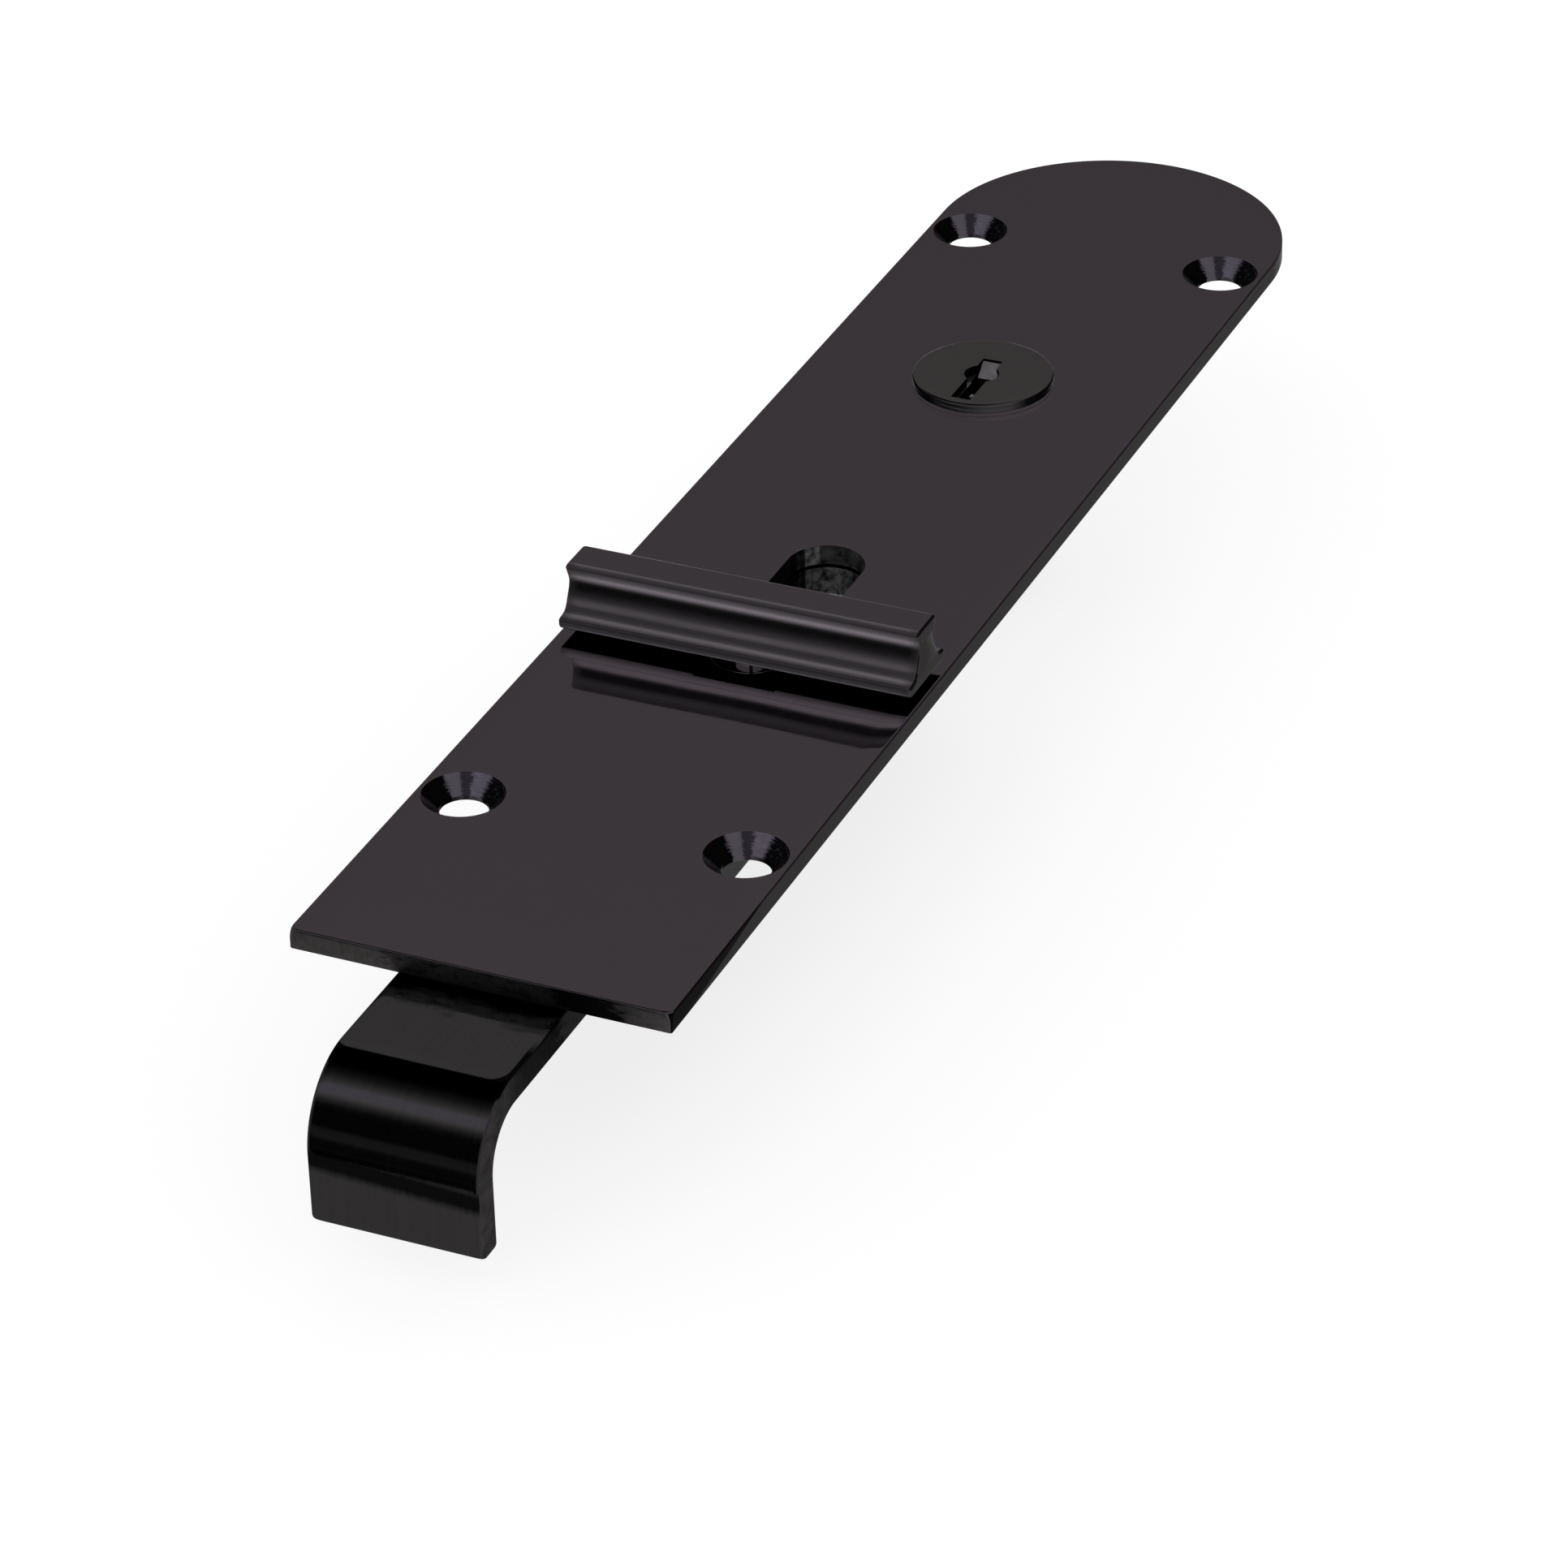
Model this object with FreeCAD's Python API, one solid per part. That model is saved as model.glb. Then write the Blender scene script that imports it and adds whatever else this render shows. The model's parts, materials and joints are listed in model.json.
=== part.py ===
import FreeCAD, Part
import math
import os

# Lockable flush bolt, sizes in mm. The origin is the centre of the four screw holes on the back of
# the face plate. X runs across the plate, Y along it towards the rounded end, Z out of its face.

V = FreeCAD.Vector
ALONG_X, ALONG_Y, ALONG_Z = V(1, 0, 0), V(0, 1, 0), V(0, 0, 1)

# Face plate
plate_length = 230.0
plate_width = 50.0
plate_thick = 2.8
plate_edge_bevel = 0.3
plate_corner_round = 0.6
screw_pitch_x = 38.0
screws_from_front = 35.0
screws_from_end = 30.0
screw_hole_d = 6.2
countersink_d = 10.5
slot_width = 10.4
grip_from_front = 79.35
lock_from_front = 158.0

# Clearances, and the error allowed when an edge is found by its place
slide_gap = 0.3
running_gap = 0.05
fit_gap = 0.1
place_error = 0.01

# Bolt bar with its bent tongue
travel = 24.0
bar_width = 22.4
bar_thick = 4.0
bar_under_plate = 0.5
bar_edge_bevel = 0.3
tongue_reach = 24.0
tongue_depth = 20.5
tongue_bend_inner = 6.5
tongue_tip_round = 1.3
bar_past_tail = 0.2

# Grip and its post
grip_length = 48.8
grip_above_plate = 1.3
grip_height = 8.0
grip_top_half = 2.95
grip_top_bevel = 0.3
grip_waist_half = 2.15
grip_waist_height = 5.7
grip_foot_half = 5.6
grip_foot_base_half = 5.2
grip_lip_low = 0.4
grip_lip_high = 1.6
grip_recess_width = 11.4
grip_recess_depth = 0.35
post_d = 4.0
post_stem_d = 3.0
post_thread_in_grip = 5.0
post_end_below_nut = 0.3
bush_below_face = 0.3

# Guide case behind the plate
case_from_front = 16.0
case_past_slot = 7.45
case_wall = 1.5
case_depth = 9.0
case_bend_inner = 0.6
ear_length = 14.0
ear_reach = 21.0
ear_corner_round = 3.0
ear_hole_d = 4.4
ear_pitch = 40.0
ear_from_case_end = 14.0
stud_x = 17.2
stud_d = 3.0
stud_base_d = 4.0
stud_base_height = 0.4
stud_length = 5.4
small_washer_d = 7.0
small_washer_thick = 0.5
small_nut_flats = 5.5
small_nut_thick = 2.4
thin_nut_thick = 1.8

# Slide rails in the case
rail_inner_x = 8.0
rail_end_margin = 3.5
rail_bevel = 0.8
peg_d = 2.4
peg_count = 3
peg_from_rail_end = 10.5

# Friction spring and its rivets
spring_width = 10.0
spring_thick = 0.4
spring_from_front = 34.0
spring_tab = 8.0
spring_bow_length = 30.0
spring_rivet_x = 2.7
rivet_d = 2.0
rivet_head_d = 3.6
rivet_head_height = 0.8

# Lock tail under the bar
tail_thick = 1.5
tail_bend_inner = 1.0
tail_leg_half = 7.0
tail_leg_length = 28.0
tail_rivet_x = 5.0
tail_rivet_margin = 4.3
tail_arm_outer_x = 15.5
tail_arm_inner_x = 8.9
tail_arm_past_lock = 9.5
tail_web_square = 3.5

# Lock cylinder
barrel_d = 17.6
barrel_flat = 16.4
barrel_depth = 21.0
barrel_flange_d = 19.2
barrel_flange_thick = 0.45
bore_d = 15.5
head_d = 19.4
head_thick = 0.9
head_bevel = 0.35
lock_nut_flats = 22.0
lock_nut_thick = 3.0
lock_washer_d = 21.4
lock_washer_thick = 0.6
tang_size = 8.0
tang_short = 0.1
cam_d = 23.0
cam_flats = 17.0
cam_thick = 2.0
cam_screw_d = 4.0
cam_screw_depth = 4.2
cam_washer_d = 10.0
cam_washer_thick = 0.8
cam_screw_head_d = 7.6
cam_screw_head_height = 2.4
cam_screw_head_bevel = 0.6
cam_screw_slot_width = 1.0
cam_screw_slot_depth = 1.1

# Keyway and its flap
keyway_width = 2.8
keyway_top = 3.7
keyway_bottom = -8.2
keyway_eye_d = 4.8
keyway_eye_y = -0.5
keyway_eye_depth = 1.6
keyway_lead_depth = 1.3
key_slot_width = 2.4
key_slot_bottom = -6.9
key_slot_depth = 20.0
ward_width = 0.7
ward_height = 1.5
ward_y = -3.6
flap_width = 2.3
flap_length = 3.9
flap_thick = 0.5
flap_knuckle_r = 0.55
flap_pin_d = 0.6
flap_pin_grip = 1.2
flap_sink = 0.25
flap_slope = 12.0
flap_wall_gap = 0.15
flap_room_depth = 6.0
flap_room_end = -1.2

# Places that follow from the sizes above
screw_pitch_y = plate_length - screws_from_front - screws_from_end
plate_front = -screw_pitch_y / 2 - screws_from_front
plate_end = plate_front + plate_length
grip_y = plate_front + grip_from_front
lock_y = plate_front + lock_from_front
slot_far_centre = grip_y + travel
bar_top = -bar_under_plate
bar_bottom = bar_top - bar_thick
tongue_front = plate_front - tongue_reach
case_front = plate_front + case_from_front
case_end = slot_far_centre + slot_width / 2 + case_past_slot
case_inner_half = bar_width / 2 + slide_gap
case_outer_half = case_inner_half + case_wall
case_floor = -case_depth + case_wall
tail_web_front = case_end + slide_gap
bar_end = tail_web_front + tail_thick + bar_past_tail
grip_bottom = plate_thick + grip_above_plate
grip_top = grip_bottom + grip_height
bush_top = plate_thick - bush_below_face
head_bottom = plate_thick + barrel_flange_thick + running_gap
head_top = head_bottom + head_thick
cam_top = -barrel_depth - slide_gap
cam_bottom = cam_top - cam_thick
arm_top = cam_top - (cam_thick - tail_thick) / 2
flap_pin_y = lock_y + keyway_top - flap_knuckle_r - flap_wall_gap
flap_pin_z = head_top - flap_sink - flap_knuckle_r


def block(x0, x1, y0, y1, z0, z1):
    """A box between two corners."""
    return Part.makeBox(x1 - x0, y1 - y0, z1 - z0, V(x0, y0, z0))


def rod(diameter, z0, z1, x=0.0, y=0.0):
    """A round rod along Z."""
    return Part.makeCylinder(diameter / 2, z1 - z0, V(x, y, z0))


def washer(outer_d, inner_d, z0, z1, x=0.0, y=0.0):
    """A flat ring along Z."""
    return rod(outer_d, z0, z1, x, y).cut(rod(inner_d, z0, z1, x, y))


def hexagon(flats, z0, z1, x=0.0, y=0.0):
    """A six-sided prism with two flats facing along Y."""
    corner = flats / math.sqrt(3)
    angles = [math.radians(60 * k) for k in range(7)]
    ring = [V(x + corner * math.cos(a), y + corner * math.sin(a), z0) for a in angles]
    return Part.Face(Part.makePolygon(ring)).extrude(V(0, 0, z1 - z0))


def hex_nut(flats, hole_d, z0, z1, x=0.0, y=0.0):
    """A six-sided nut with its outer corners turned off."""
    corner = flats / math.sqrt(3)
    blank = rod(2 * corner, z0, z1, x, y)
    bevel = (corner - flats / 2) * math.tan(math.radians(30))
    blank = blank.makeChamfer(bevel, flat_edges(blank, z0) + flat_edges(blank, z1))
    return hexagon(flats, z0, z1, x, y).common(blank).cut(rod(hole_d, z0, z1, x, y))


def slot_prism(width, y0, y1, z0, z1):
    """A prism along the middle of the plate with two round ends, given by their centres."""
    straight = block(-width / 2, width / 2, y0, y1, z0, z1)
    return straight.fuse([rod(width, z0, z1, 0, y0), rod(width, z0, z1, 0, y1)]).removeSplitter()


def turned(points):
    """A body of revolution about Z from (radius, height) points."""
    corners = [V(r, 0, z) for r, z in points]
    profile = Part.Face(Part.makePolygon(corners + corners[:1]))
    return profile.revolve(V(0, 0, 0), ALONG_Z, 360)


def side_prism(edges, x0, x1):
    """A prism across the plate from edges drawn in the plane of Y and Z."""
    face = Part.Face(Part.Wire(Part.__sortEdges__(edges)))
    face.translate(V(x0, 0, 0))
    return face.extrude(V(x1 - x0, 0, 0))


def line(y0, z0, y1, z1):
    return Part.makeLine(V(0, y0, z0), V(0, y1, z1))


def quarter_arc(cy, cz, radius, start):
    """A quarter of a circle in the plane of Y and Z, starting at an angle from +Y."""
    ends = [math.radians(start + turn) for turn in (0, 45, 90)]
    points = [V(0, cy + radius * math.cos(a), cz + radius * math.sin(a)) for a in ends]
    return Part.Arc(*points).toShape()


def flat_edges(shape, z):
    """The edges that lie level at a height."""
    level = [e for e in shape.Edges if e.BoundBox.ZLength < place_error]
    return [e for e in level if abs(e.CenterOfMass.z - z) < place_error]


def low_long_edges(shape):
    """The two lower edges that run the length of a channel."""
    half_run = shape.BoundBox.YLength / 2
    return [e for e in shape.Edges if e.BoundBox.YLength > half_run and e.CenterOfMass.z < -case_wall]


def lock_hole(extra):
    """The double-D that keeps the barrel from turning."""
    half = barrel_flat / 2 + extra
    reach = barrel_d / 2 + extra
    hole = rod(2 * reach, -barrel_depth, plate_thick, 0, lock_y)
    return hole.common(block(-half, half, lock_y - reach, lock_y + reach, -barrel_depth, plate_thick))


def countersunk_hole(x, y):
    """A through hole with a right-angled cone down from the face."""
    cone_depth = (countersink_d - screw_hole_d) / 2
    cone = Part.makeCone(screw_hole_d / 2, countersink_d / 2, cone_depth, V(x, y, plate_thick - cone_depth))
    return rod(screw_hole_d, 0, plate_thick, x, y).fuse(cone)


def face_plate():
    """The flat cover with its round far end, four screw holes, grip slot and lock hole."""
    half = plate_width / 2
    round_centre = plate_end - half
    left = [V(-half, y, 0) for y in (round_centre, plate_front)]
    right = [V(half, y, 0) for y in (plate_front, round_centre)]
    corners = left + right
    sides = [Part.makeLine(a, b) for a, b in zip(corners, corners[1:])]
    end = Part.Arc(corners[-1], V(0, plate_end, 0), corners[0]).toShape()
    plate = Part.Face(Part.Wire(sides + [end])).extrude(V(0, 0, plate_thick))
    upright = [e for e in plate.Edges if e.BoundBox.ZLength > plate_thick / 2
               and abs(e.CenterOfMass.y - plate_front) < place_error]
    plate = plate.makeFillet(plate_corner_round, upright)
    plate = plate.makeChamfer(plate_edge_bevel, flat_edges(plate, plate_thick))
    screw_x, screw_y = screw_pitch_x / 2, screw_pitch_y / 2
    holes = [countersunk_hole(x, y) for x in (-screw_x, screw_x) for y in (-screw_y, screw_y)]
    holes.append(slot_prism(slot_width, grip_y, slot_far_centre, 0, plate_thick))
    holes.append(lock_hole(fit_gap))
    return plate.cut(holes)


def bolt_bar():
    """The flat bar whose end is bent down into the tongue, drawn from the side."""
    inner, outer = tongue_bend_inner, tongue_bend_inner + bar_thick
    back = tongue_front + bar_thick
    tip, tip_r = -tongue_depth, tongue_tip_round
    edges = [line(bar_end, bar_top, tongue_front + outer, bar_top),
             quarter_arc(tongue_front + outer, bar_top - outer, outer, 90),
             line(tongue_front, bar_top - outer, tongue_front, tip + tip_r),
             quarter_arc(tongue_front + tip_r, tip + tip_r, tip_r, 180),
             line(tongue_front + tip_r, tip, back, tip),
             line(back, tip, back, bar_bottom - inner),
             quarter_arc(back + inner, bar_bottom - inner, inner, 90),
             line(back + inner, bar_bottom, bar_end, bar_bottom),
             line(bar_end, bar_bottom, bar_end, bar_top)]
    bar = side_prism(edges, -bar_width / 2, bar_width / 2)
    rims = [e for e in bar.Edges if e.BoundBox.XLength < place_error]
    bar = bar.makeChamfer(bar_edge_bevel, rims)
    holes = [rod(slot_width, bar_bottom, bar_top, 0, slot_far_centre),
             rod(post_stem_d + 2 * running_gap, bar_bottom, bar_top, 0, grip_y)]
    head_seat = bar_top - rivet_head_height - fit_gap
    for x, y in tail_rivet_places():
        holes.append(rod(rivet_d + 2 * running_gap, bar_bottom, bar_top, x, y))
        holes.append(rod(rivet_head_d + 2 * running_gap, head_seat, bar_top, x, y))
    return bar.cut(holes)


def grip_side(sign):
    """One side of the grip's section, from the top down. The hollow arc leaves the waist upright."""
    shoulder_z = grip_top - grip_top_bevel
    waist_z = grip_bottom + grip_waist_height
    foot_z = grip_bottom + grip_lip_high
    lip_z = grip_bottom + grip_lip_low
    spread, drop = grip_foot_half - grip_waist_half, waist_z - foot_z
    radius = (spread ** 2 + drop ** 2) / (2 * spread)
    half_turn = math.atan2(drop, radius - spread) / 2
    middle_half = grip_waist_half + radius * (1 - math.cos(half_turn))
    middle_z = waist_z - radius * math.sin(half_turn)
    hollow = [V(0, sign * y, z) for y, z in
              ((grip_waist_half, waist_z), (middle_half, middle_z), (grip_foot_half, foot_z))]
    return [line(sign * (grip_top_half - grip_top_bevel), grip_top, sign * grip_top_half, shoulder_z),
            line(sign * grip_top_half, shoulder_z, sign * grip_waist_half, waist_z),
            Part.Arc(*hollow).toShape(),
            line(sign * grip_foot_half, foot_z, sign * grip_foot_half, lip_z),
            line(sign * grip_foot_half, lip_z, sign * grip_foot_base_half, grip_bottom)]


def grip():
    """The cross bar that the fingers push, one waisted section swept straight across the plate."""
    top_half = grip_top_half - grip_top_bevel
    edges = grip_side(-1) + grip_side(1)
    edges.append(line(-top_half, grip_top, top_half, grip_top))
    edges.append(line(-grip_foot_base_half, grip_bottom, grip_foot_base_half, grip_bottom))
    body = side_prism(edges, -grip_length / 2, grip_length / 2)
    recess_half = grip_recess_width / 2
    body = body.cut(block(-recess_half, recess_half, -grip_foot_half, grip_foot_half,
                          grip_bottom, grip_bottom + grip_recess_depth))
    hole_end = grip_bottom + post_thread_in_grip + fit_gap
    body = body.cut(rod(post_stem_d + 2 * running_gap, grip_bottom, hole_end))
    body.translate(V(0, grip_y, 0))
    return body


def grip_post():
    """The stepped stud that joins the grip to the bar through the slot."""
    seat = grip_bottom + grip_recess_depth
    collar = rod(post_d, bush_top, seat, 0, grip_y)
    stem_end = bar_bottom - small_washer_thick - thin_nut_thick - post_end_below_nut
    stem = rod(post_stem_d, stem_end, grip_bottom + post_thread_in_grip, 0, grip_y)
    return collar.fuse(stem).removeSplitter()


def slot_bush():
    """The round guide block that fills the slot under the grip and stops the bar at both ends."""
    return washer(slot_width - 2 * slide_gap, post_stem_d + 2 * running_gap, bar_top, bush_top, 0, grip_y)


def post_washer():
    low = bar_bottom - small_washer_thick
    return washer(small_washer_d, post_stem_d + 2 * running_gap, low, bar_bottom, 0, grip_y)


def post_nut():
    top = bar_bottom - small_washer_thick
    return hex_nut(small_nut_flats, post_stem_d + 2 * running_gap, top - thin_nut_thick, top, 0, grip_y)


def ear_rows():
    """Where the case's ears and studs stand along the plate."""
    last = case_end - ear_from_case_end
    return [last - ear_pitch, last]


def stud_places():
    return [(side * stud_x, y) for y in ear_rows() for side in (-1, 1)]


def guide_case():
    """The folded channel that guides the bar, with four ears for its studs."""
    outer, inner = case_outer_half, case_inner_half
    shell = block(-outer, outer, case_front, case_end, -case_depth, 0)
    hollow = block(-inner, inner, case_front, case_end, case_floor, 0)
    shell = shell.makeFillet(case_wall + case_bend_inner, low_long_edges(shell))
    hollow = hollow.makeFillet(case_bend_inner, low_long_edges(hollow))
    ears = []
    for y in ear_rows():
        ear = block(-ear_reach, ear_reach, y - ear_length / 2, y + ear_length / 2, -case_wall, 0)
        upright = [e for e in ear.Edges if e.BoundBox.ZLength > case_wall / 2]
        ears.append(ear.makeFillet(ear_corner_round, upright))
    case = shell.fuse(ears).cut(hollow).removeSplitter()
    holes = [rod(ear_hole_d, -case_wall, 0, x, y) for x, y in stud_places()]
    holes += [rod(peg_d + 2 * running_gap, -case_depth, case_floor, x, y) for x, y in peg_places()]
    holes += [rod(rivet_d + 2 * running_gap, -case_depth, case_floor, x, y) for x, y in spring_rivet_places()]
    return case.cut(holes)


def case_studs():
    """Four studs welded to the back of the plate."""
    studs = []
    for x, y in stud_places():
        base = rod(stud_base_d, -stud_base_height, 0, x, y)
        studs.append(base.fuse(rod(stud_d, -stud_length, 0, x, y)).removeSplitter())
    return Part.makeCompound(studs)


def case_washers():
    low = -case_wall - small_washer_thick
    rings = [washer(small_washer_d, stud_d + 2 * fit_gap, low, -case_wall, x, y) for x, y in stud_places()]
    return Part.makeCompound(rings)


def case_nuts():
    top = -case_wall - small_washer_thick
    nuts = [hex_nut(small_nut_flats, stud_d + 2 * running_gap, top - small_nut_thick, top, x, y)
            for x, y in stud_places()]
    return Part.makeCompound(nuts)


def rail_peg_rows():
    """Where the pegs of a slide rail stand along the case."""
    first = case_front + rail_end_margin + peg_from_rail_end
    last = case_end - rail_end_margin - peg_from_rail_end
    return [first + (last - first) * k / (peg_count - 1) for k in range(peg_count)]


def peg_places():
    x = (rail_inner_x + case_inner_half) / 2
    return [(side * x, y) for side in (-1, 1) for y in rail_peg_rows()]


def slide_rail(side):
    """A plastic strip in one corner of the case, which carries the bar's edge."""
    far, top = case_inner_half - running_gap, bar_bottom - slide_gap
    rail = block(rail_inner_x, far, case_front + rail_end_margin, case_end - rail_end_margin, case_floor, top)
    corner = [e for e in flat_edges(rail, case_floor) if abs(e.CenterOfMass.x - far) < place_error]
    rail = rail.makeChamfer(rail_bevel, corner)
    pegs = [rod(peg_d, -case_depth, case_floor, x, y) for x, y in peg_places() if x > 0]
    rail = rail.fuse(pegs).removeSplitter()
    if side < 0:
        rail = rail.mirror(V(0, 0, 0), ALONG_X)
    return rail


def spring_rivet_places():
    y = plate_front + spring_from_front + spring_tab / 2
    return [(side * spring_rivet_x, y) for side in (-1, 1)]


def friction_spring():
    """A leaf with a flat tab and a bowed arm whose crown leans on the underside of the bar."""
    start = plate_front + spring_from_front
    bow_start = start + spring_tab
    bow_end = bow_start + spring_bow_length
    low, high = case_floor, case_floor + spring_thick
    crown = bar_bottom - slide_gap
    edges = [line(start, low, bow_start, low), line(start, high, bow_start, high),
             line(start, low, start, high), line(bow_end, low, bow_end, high)]
    for level, top in ((low, crown - spring_thick), (high, crown)):
        bow = [V(0, bow_start, level), V(0, (bow_start + bow_end) / 2, top), V(0, bow_end, level)]
        edges.append(Part.Arc(*bow).toShape())
    leaf = side_prism(edges, -spring_width / 2, spring_width / 2)
    return leaf.cut([rod(rivet_d + 2 * running_gap, low, high, x, y) for x, y in spring_rivet_places()])


def rivet(x, y, low_seat, high_seat, sunk_top):
    """A rivet between two seats, its top head flush when sunk or its heads both proud."""
    shank = rod(rivet_d, low_seat, high_seat, x, y)
    low_head = rod(rivet_head_d, low_seat - rivet_head_height, low_seat, x, y)
    top = (high_seat - rivet_head_height, high_seat) if sunk_top else (high_seat, high_seat + rivet_head_height)
    return shank.fuse([low_head, rod(rivet_head_d, top[0], top[1], x, y)]).removeSplitter()


def spring_rivets():
    top = case_floor + spring_thick
    return Part.makeCompound([rivet(x, y, -case_depth, top, False) for x, y in spring_rivet_places()])


def tail_rivet_places():
    """Four rivets round the hole in the bar."""
    leg_start = tail_web_front - tail_leg_length
    rows = (leg_start + tail_rivet_margin, tail_web_front - tail_rivet_margin)
    return [(side * tail_rivet_x, y) for side in (-1, 1) for y in rows]


def lock_tail():
    """The folded strip that hangs below the bar and carries the two notches for the cam."""
    t, inner = tail_thick, tail_bend_inner
    outer = inner + t
    leg_start = tail_web_front - tail_leg_length
    arm_end = lock_y + tail_arm_past_lock
    leg_top, web_back = bar_bottom, tail_web_front + t
    arm_bottom = arm_top - t
    edges = [line(leg_start, leg_top, web_back - outer, leg_top),
             quarter_arc(web_back - outer, leg_top - outer, outer, 0),
             line(web_back, leg_top - outer, web_back, arm_top + inner),
             quarter_arc(web_back + inner, arm_top + inner, inner, 180),
             line(web_back + inner, arm_top, arm_end, arm_top),
             line(arm_end, arm_top, arm_end, arm_bottom),
             line(arm_end, arm_bottom, tail_web_front + outer, arm_bottom),
             quarter_arc(tail_web_front + outer, arm_bottom + outer, outer, 180),
             line(tail_web_front, arm_bottom + outer, tail_web_front, leg_top - t - inner),
             quarter_arc(tail_web_front - inner, leg_top - t - inner, inner, 0),
             line(tail_web_front - inner, leg_top - t, leg_start, leg_top - t),
             line(leg_start, leg_top - t, leg_start, leg_top)]
    strip = side_prism(edges, -tail_arm_outer_x, tail_leg_half)
    web_square_end = leg_top - outer - tail_web_square
    beside_leg = block(-tail_arm_outer_x, -tail_leg_half, leg_start, web_back, web_square_end, leg_top)
    web_side = [V(-tail_arm_inner_x, 0, arm_top + inner), V(tail_leg_half, 0, web_square_end),
                V(tail_leg_half, 0, arm_bottom), V(-tail_arm_inner_x, 0, arm_bottom)]
    slanted = Part.Face(Part.makePolygon(web_side + web_side[:1]))
    slanted.translate(V(0, tail_web_front, 0))
    notch_half = math.sqrt((cam_d / 2) ** 2 - tail_arm_inner_x ** 2) + slide_gap
    notch_floor = cam_d / 2 + slide_gap
    notches = [block(-notch_floor, 0, y - notch_half, y + notch_half, arm_bottom, arm_top)
               for y in (lock_y, lock_y - travel)]
    cuts = [beside_leg, slanted.extrude(V(0, arm_end - tail_web_front, 0))] + notches
    cuts += [rod(rivet_d + 2 * running_gap, leg_top - t, leg_top, x, y) for x, y in tail_rivet_places()]
    return strip.cut(cuts)


def tail_rivets():
    low = bar_bottom - tail_thick
    return Part.makeCompound([rivet(x, y, low, bar_top - fit_gap, True) for x, y in tail_rivet_places()])


def lock_barrel():
    """The fixed sleeve of the lock with a thin flange on the plate's face."""
    body = lock_hole(0)
    flange = rod(barrel_flange_d, plate_thick, plate_thick + barrel_flange_thick, 0, lock_y)
    bore = rod(bore_d, -barrel_depth, plate_thick + barrel_flange_thick, 0, lock_y)
    return body.fuse(flange).cut(bore).removeSplitter()


def lock_washer():
    ring = rod(lock_washer_d, -lock_washer_thick, 0, 0, lock_y)
    return ring.cut(lock_hole(fit_gap))


def lock_nut():
    top = -lock_washer_thick
    return hex_nut(lock_nut_flats, barrel_d + 2 * running_gap, top - lock_nut_thick, top, 0, lock_y)


def keyway():
    """The key's opening: a wide lead-in with a round eye, and a narrower warded slot below it."""
    lead_floor = head_top - keyway_lead_depth
    key_floor = head_top - key_slot_depth
    flap_floor = head_top - flap_room_depth
    lead = block(-keyway_width / 2, keyway_width / 2, keyway_bottom, keyway_top, lead_floor, head_top)
    eye = rod(keyway_eye_d, head_top - keyway_eye_depth, head_top, 0, keyway_eye_y)
    room = block(-keyway_width / 2, keyway_width / 2, flap_room_end, keyway_top, flap_floor, head_top)
    key_slot = block(-key_slot_width / 2, key_slot_width / 2, key_slot_bottom, keyway_top, key_floor, head_top)
    ward = block(key_slot_width / 2 - ward_width, key_slot_width / 2, ward_y - ward_height / 2,
                 ward_y + ward_height / 2, key_floor, lead_floor)
    opening = lead.fuse([eye, room, key_slot]).cut(ward)
    opening.translate(V(0, lock_y, 0))
    return opening.fuse(flap_pin())


def lock_plug():
    """The turning core: bevelled disc head, round body and square tang."""
    head_r, body_r = head_d / 2, bore_d / 2 - running_gap
    outline = [(0, cam_top), (body_r, cam_top), (body_r, head_bottom), (head_r, head_bottom),
               (head_r, head_top - head_bevel), (head_r - head_bevel, head_top), (0, head_top)]
    core = turned(outline)
    tang = block(-tang_size / 2, tang_size / 2, -tang_size / 2, tang_size / 2, cam_bottom + tang_short, cam_top)
    screw_hole = rod(cam_screw_d + 2 * running_gap, cam_bottom, cam_top + cam_screw_depth - cam_thick)
    core = core.fuse(tang).cut(screw_hole)
    core.translate(V(0, lock_y, 0))
    return core.cut(keyway())


def flap_pin():
    """The flap's hinge pin, pressed into both sides of the keyway."""
    half = keyway_width / 2 + flap_pin_grip
    return Part.makeCylinder(flap_pin_d / 2, 2 * half, V(-half, flap_pin_y, flap_pin_z), ALONG_X)


def key_flap():
    """The sprung flap that shuts the upper half of the keyway, hung from its pin."""
    knuckle = Part.makeCylinder(flap_knuckle_r, flap_width, V(-flap_width / 2, 0, 0), ALONG_X)
    leaf = block(-flap_width / 2, flap_width / 2, -flap_length, 0, flap_knuckle_r - flap_thick, flap_knuckle_r)
    flap = knuckle.fuse(leaf)
    bore_r = flap_pin_d / 2 + running_gap
    flap = flap.cut(Part.makeCylinder(bore_r, flap_width, V(-flap_width / 2, 0, 0), ALONG_X))
    flap.rotate(V(0, 0, 0), ALONG_X, flap_slope)
    flap.translate(V(0, flap_pin_y, flap_pin_z))
    return flap


def lock_cam():
    """The double-D disc that turns into the tail's notches."""
    half_flats = cam_flats / 2
    disc = rod(cam_d, cam_bottom, cam_top).common(
        block(-half_flats, half_flats, -cam_d / 2, cam_d / 2, cam_bottom, cam_top))
    square = tang_size / 2 + running_gap
    disc = disc.cut(block(-square, square, -square, square, cam_bottom, cam_top))
    disc.translate(V(0, lock_y, 0))
    return disc


def cam_washer():
    return washer(cam_washer_d, cam_screw_d + 2 * fit_gap, cam_bottom - cam_washer_thick, cam_bottom, 0, lock_y)


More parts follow.
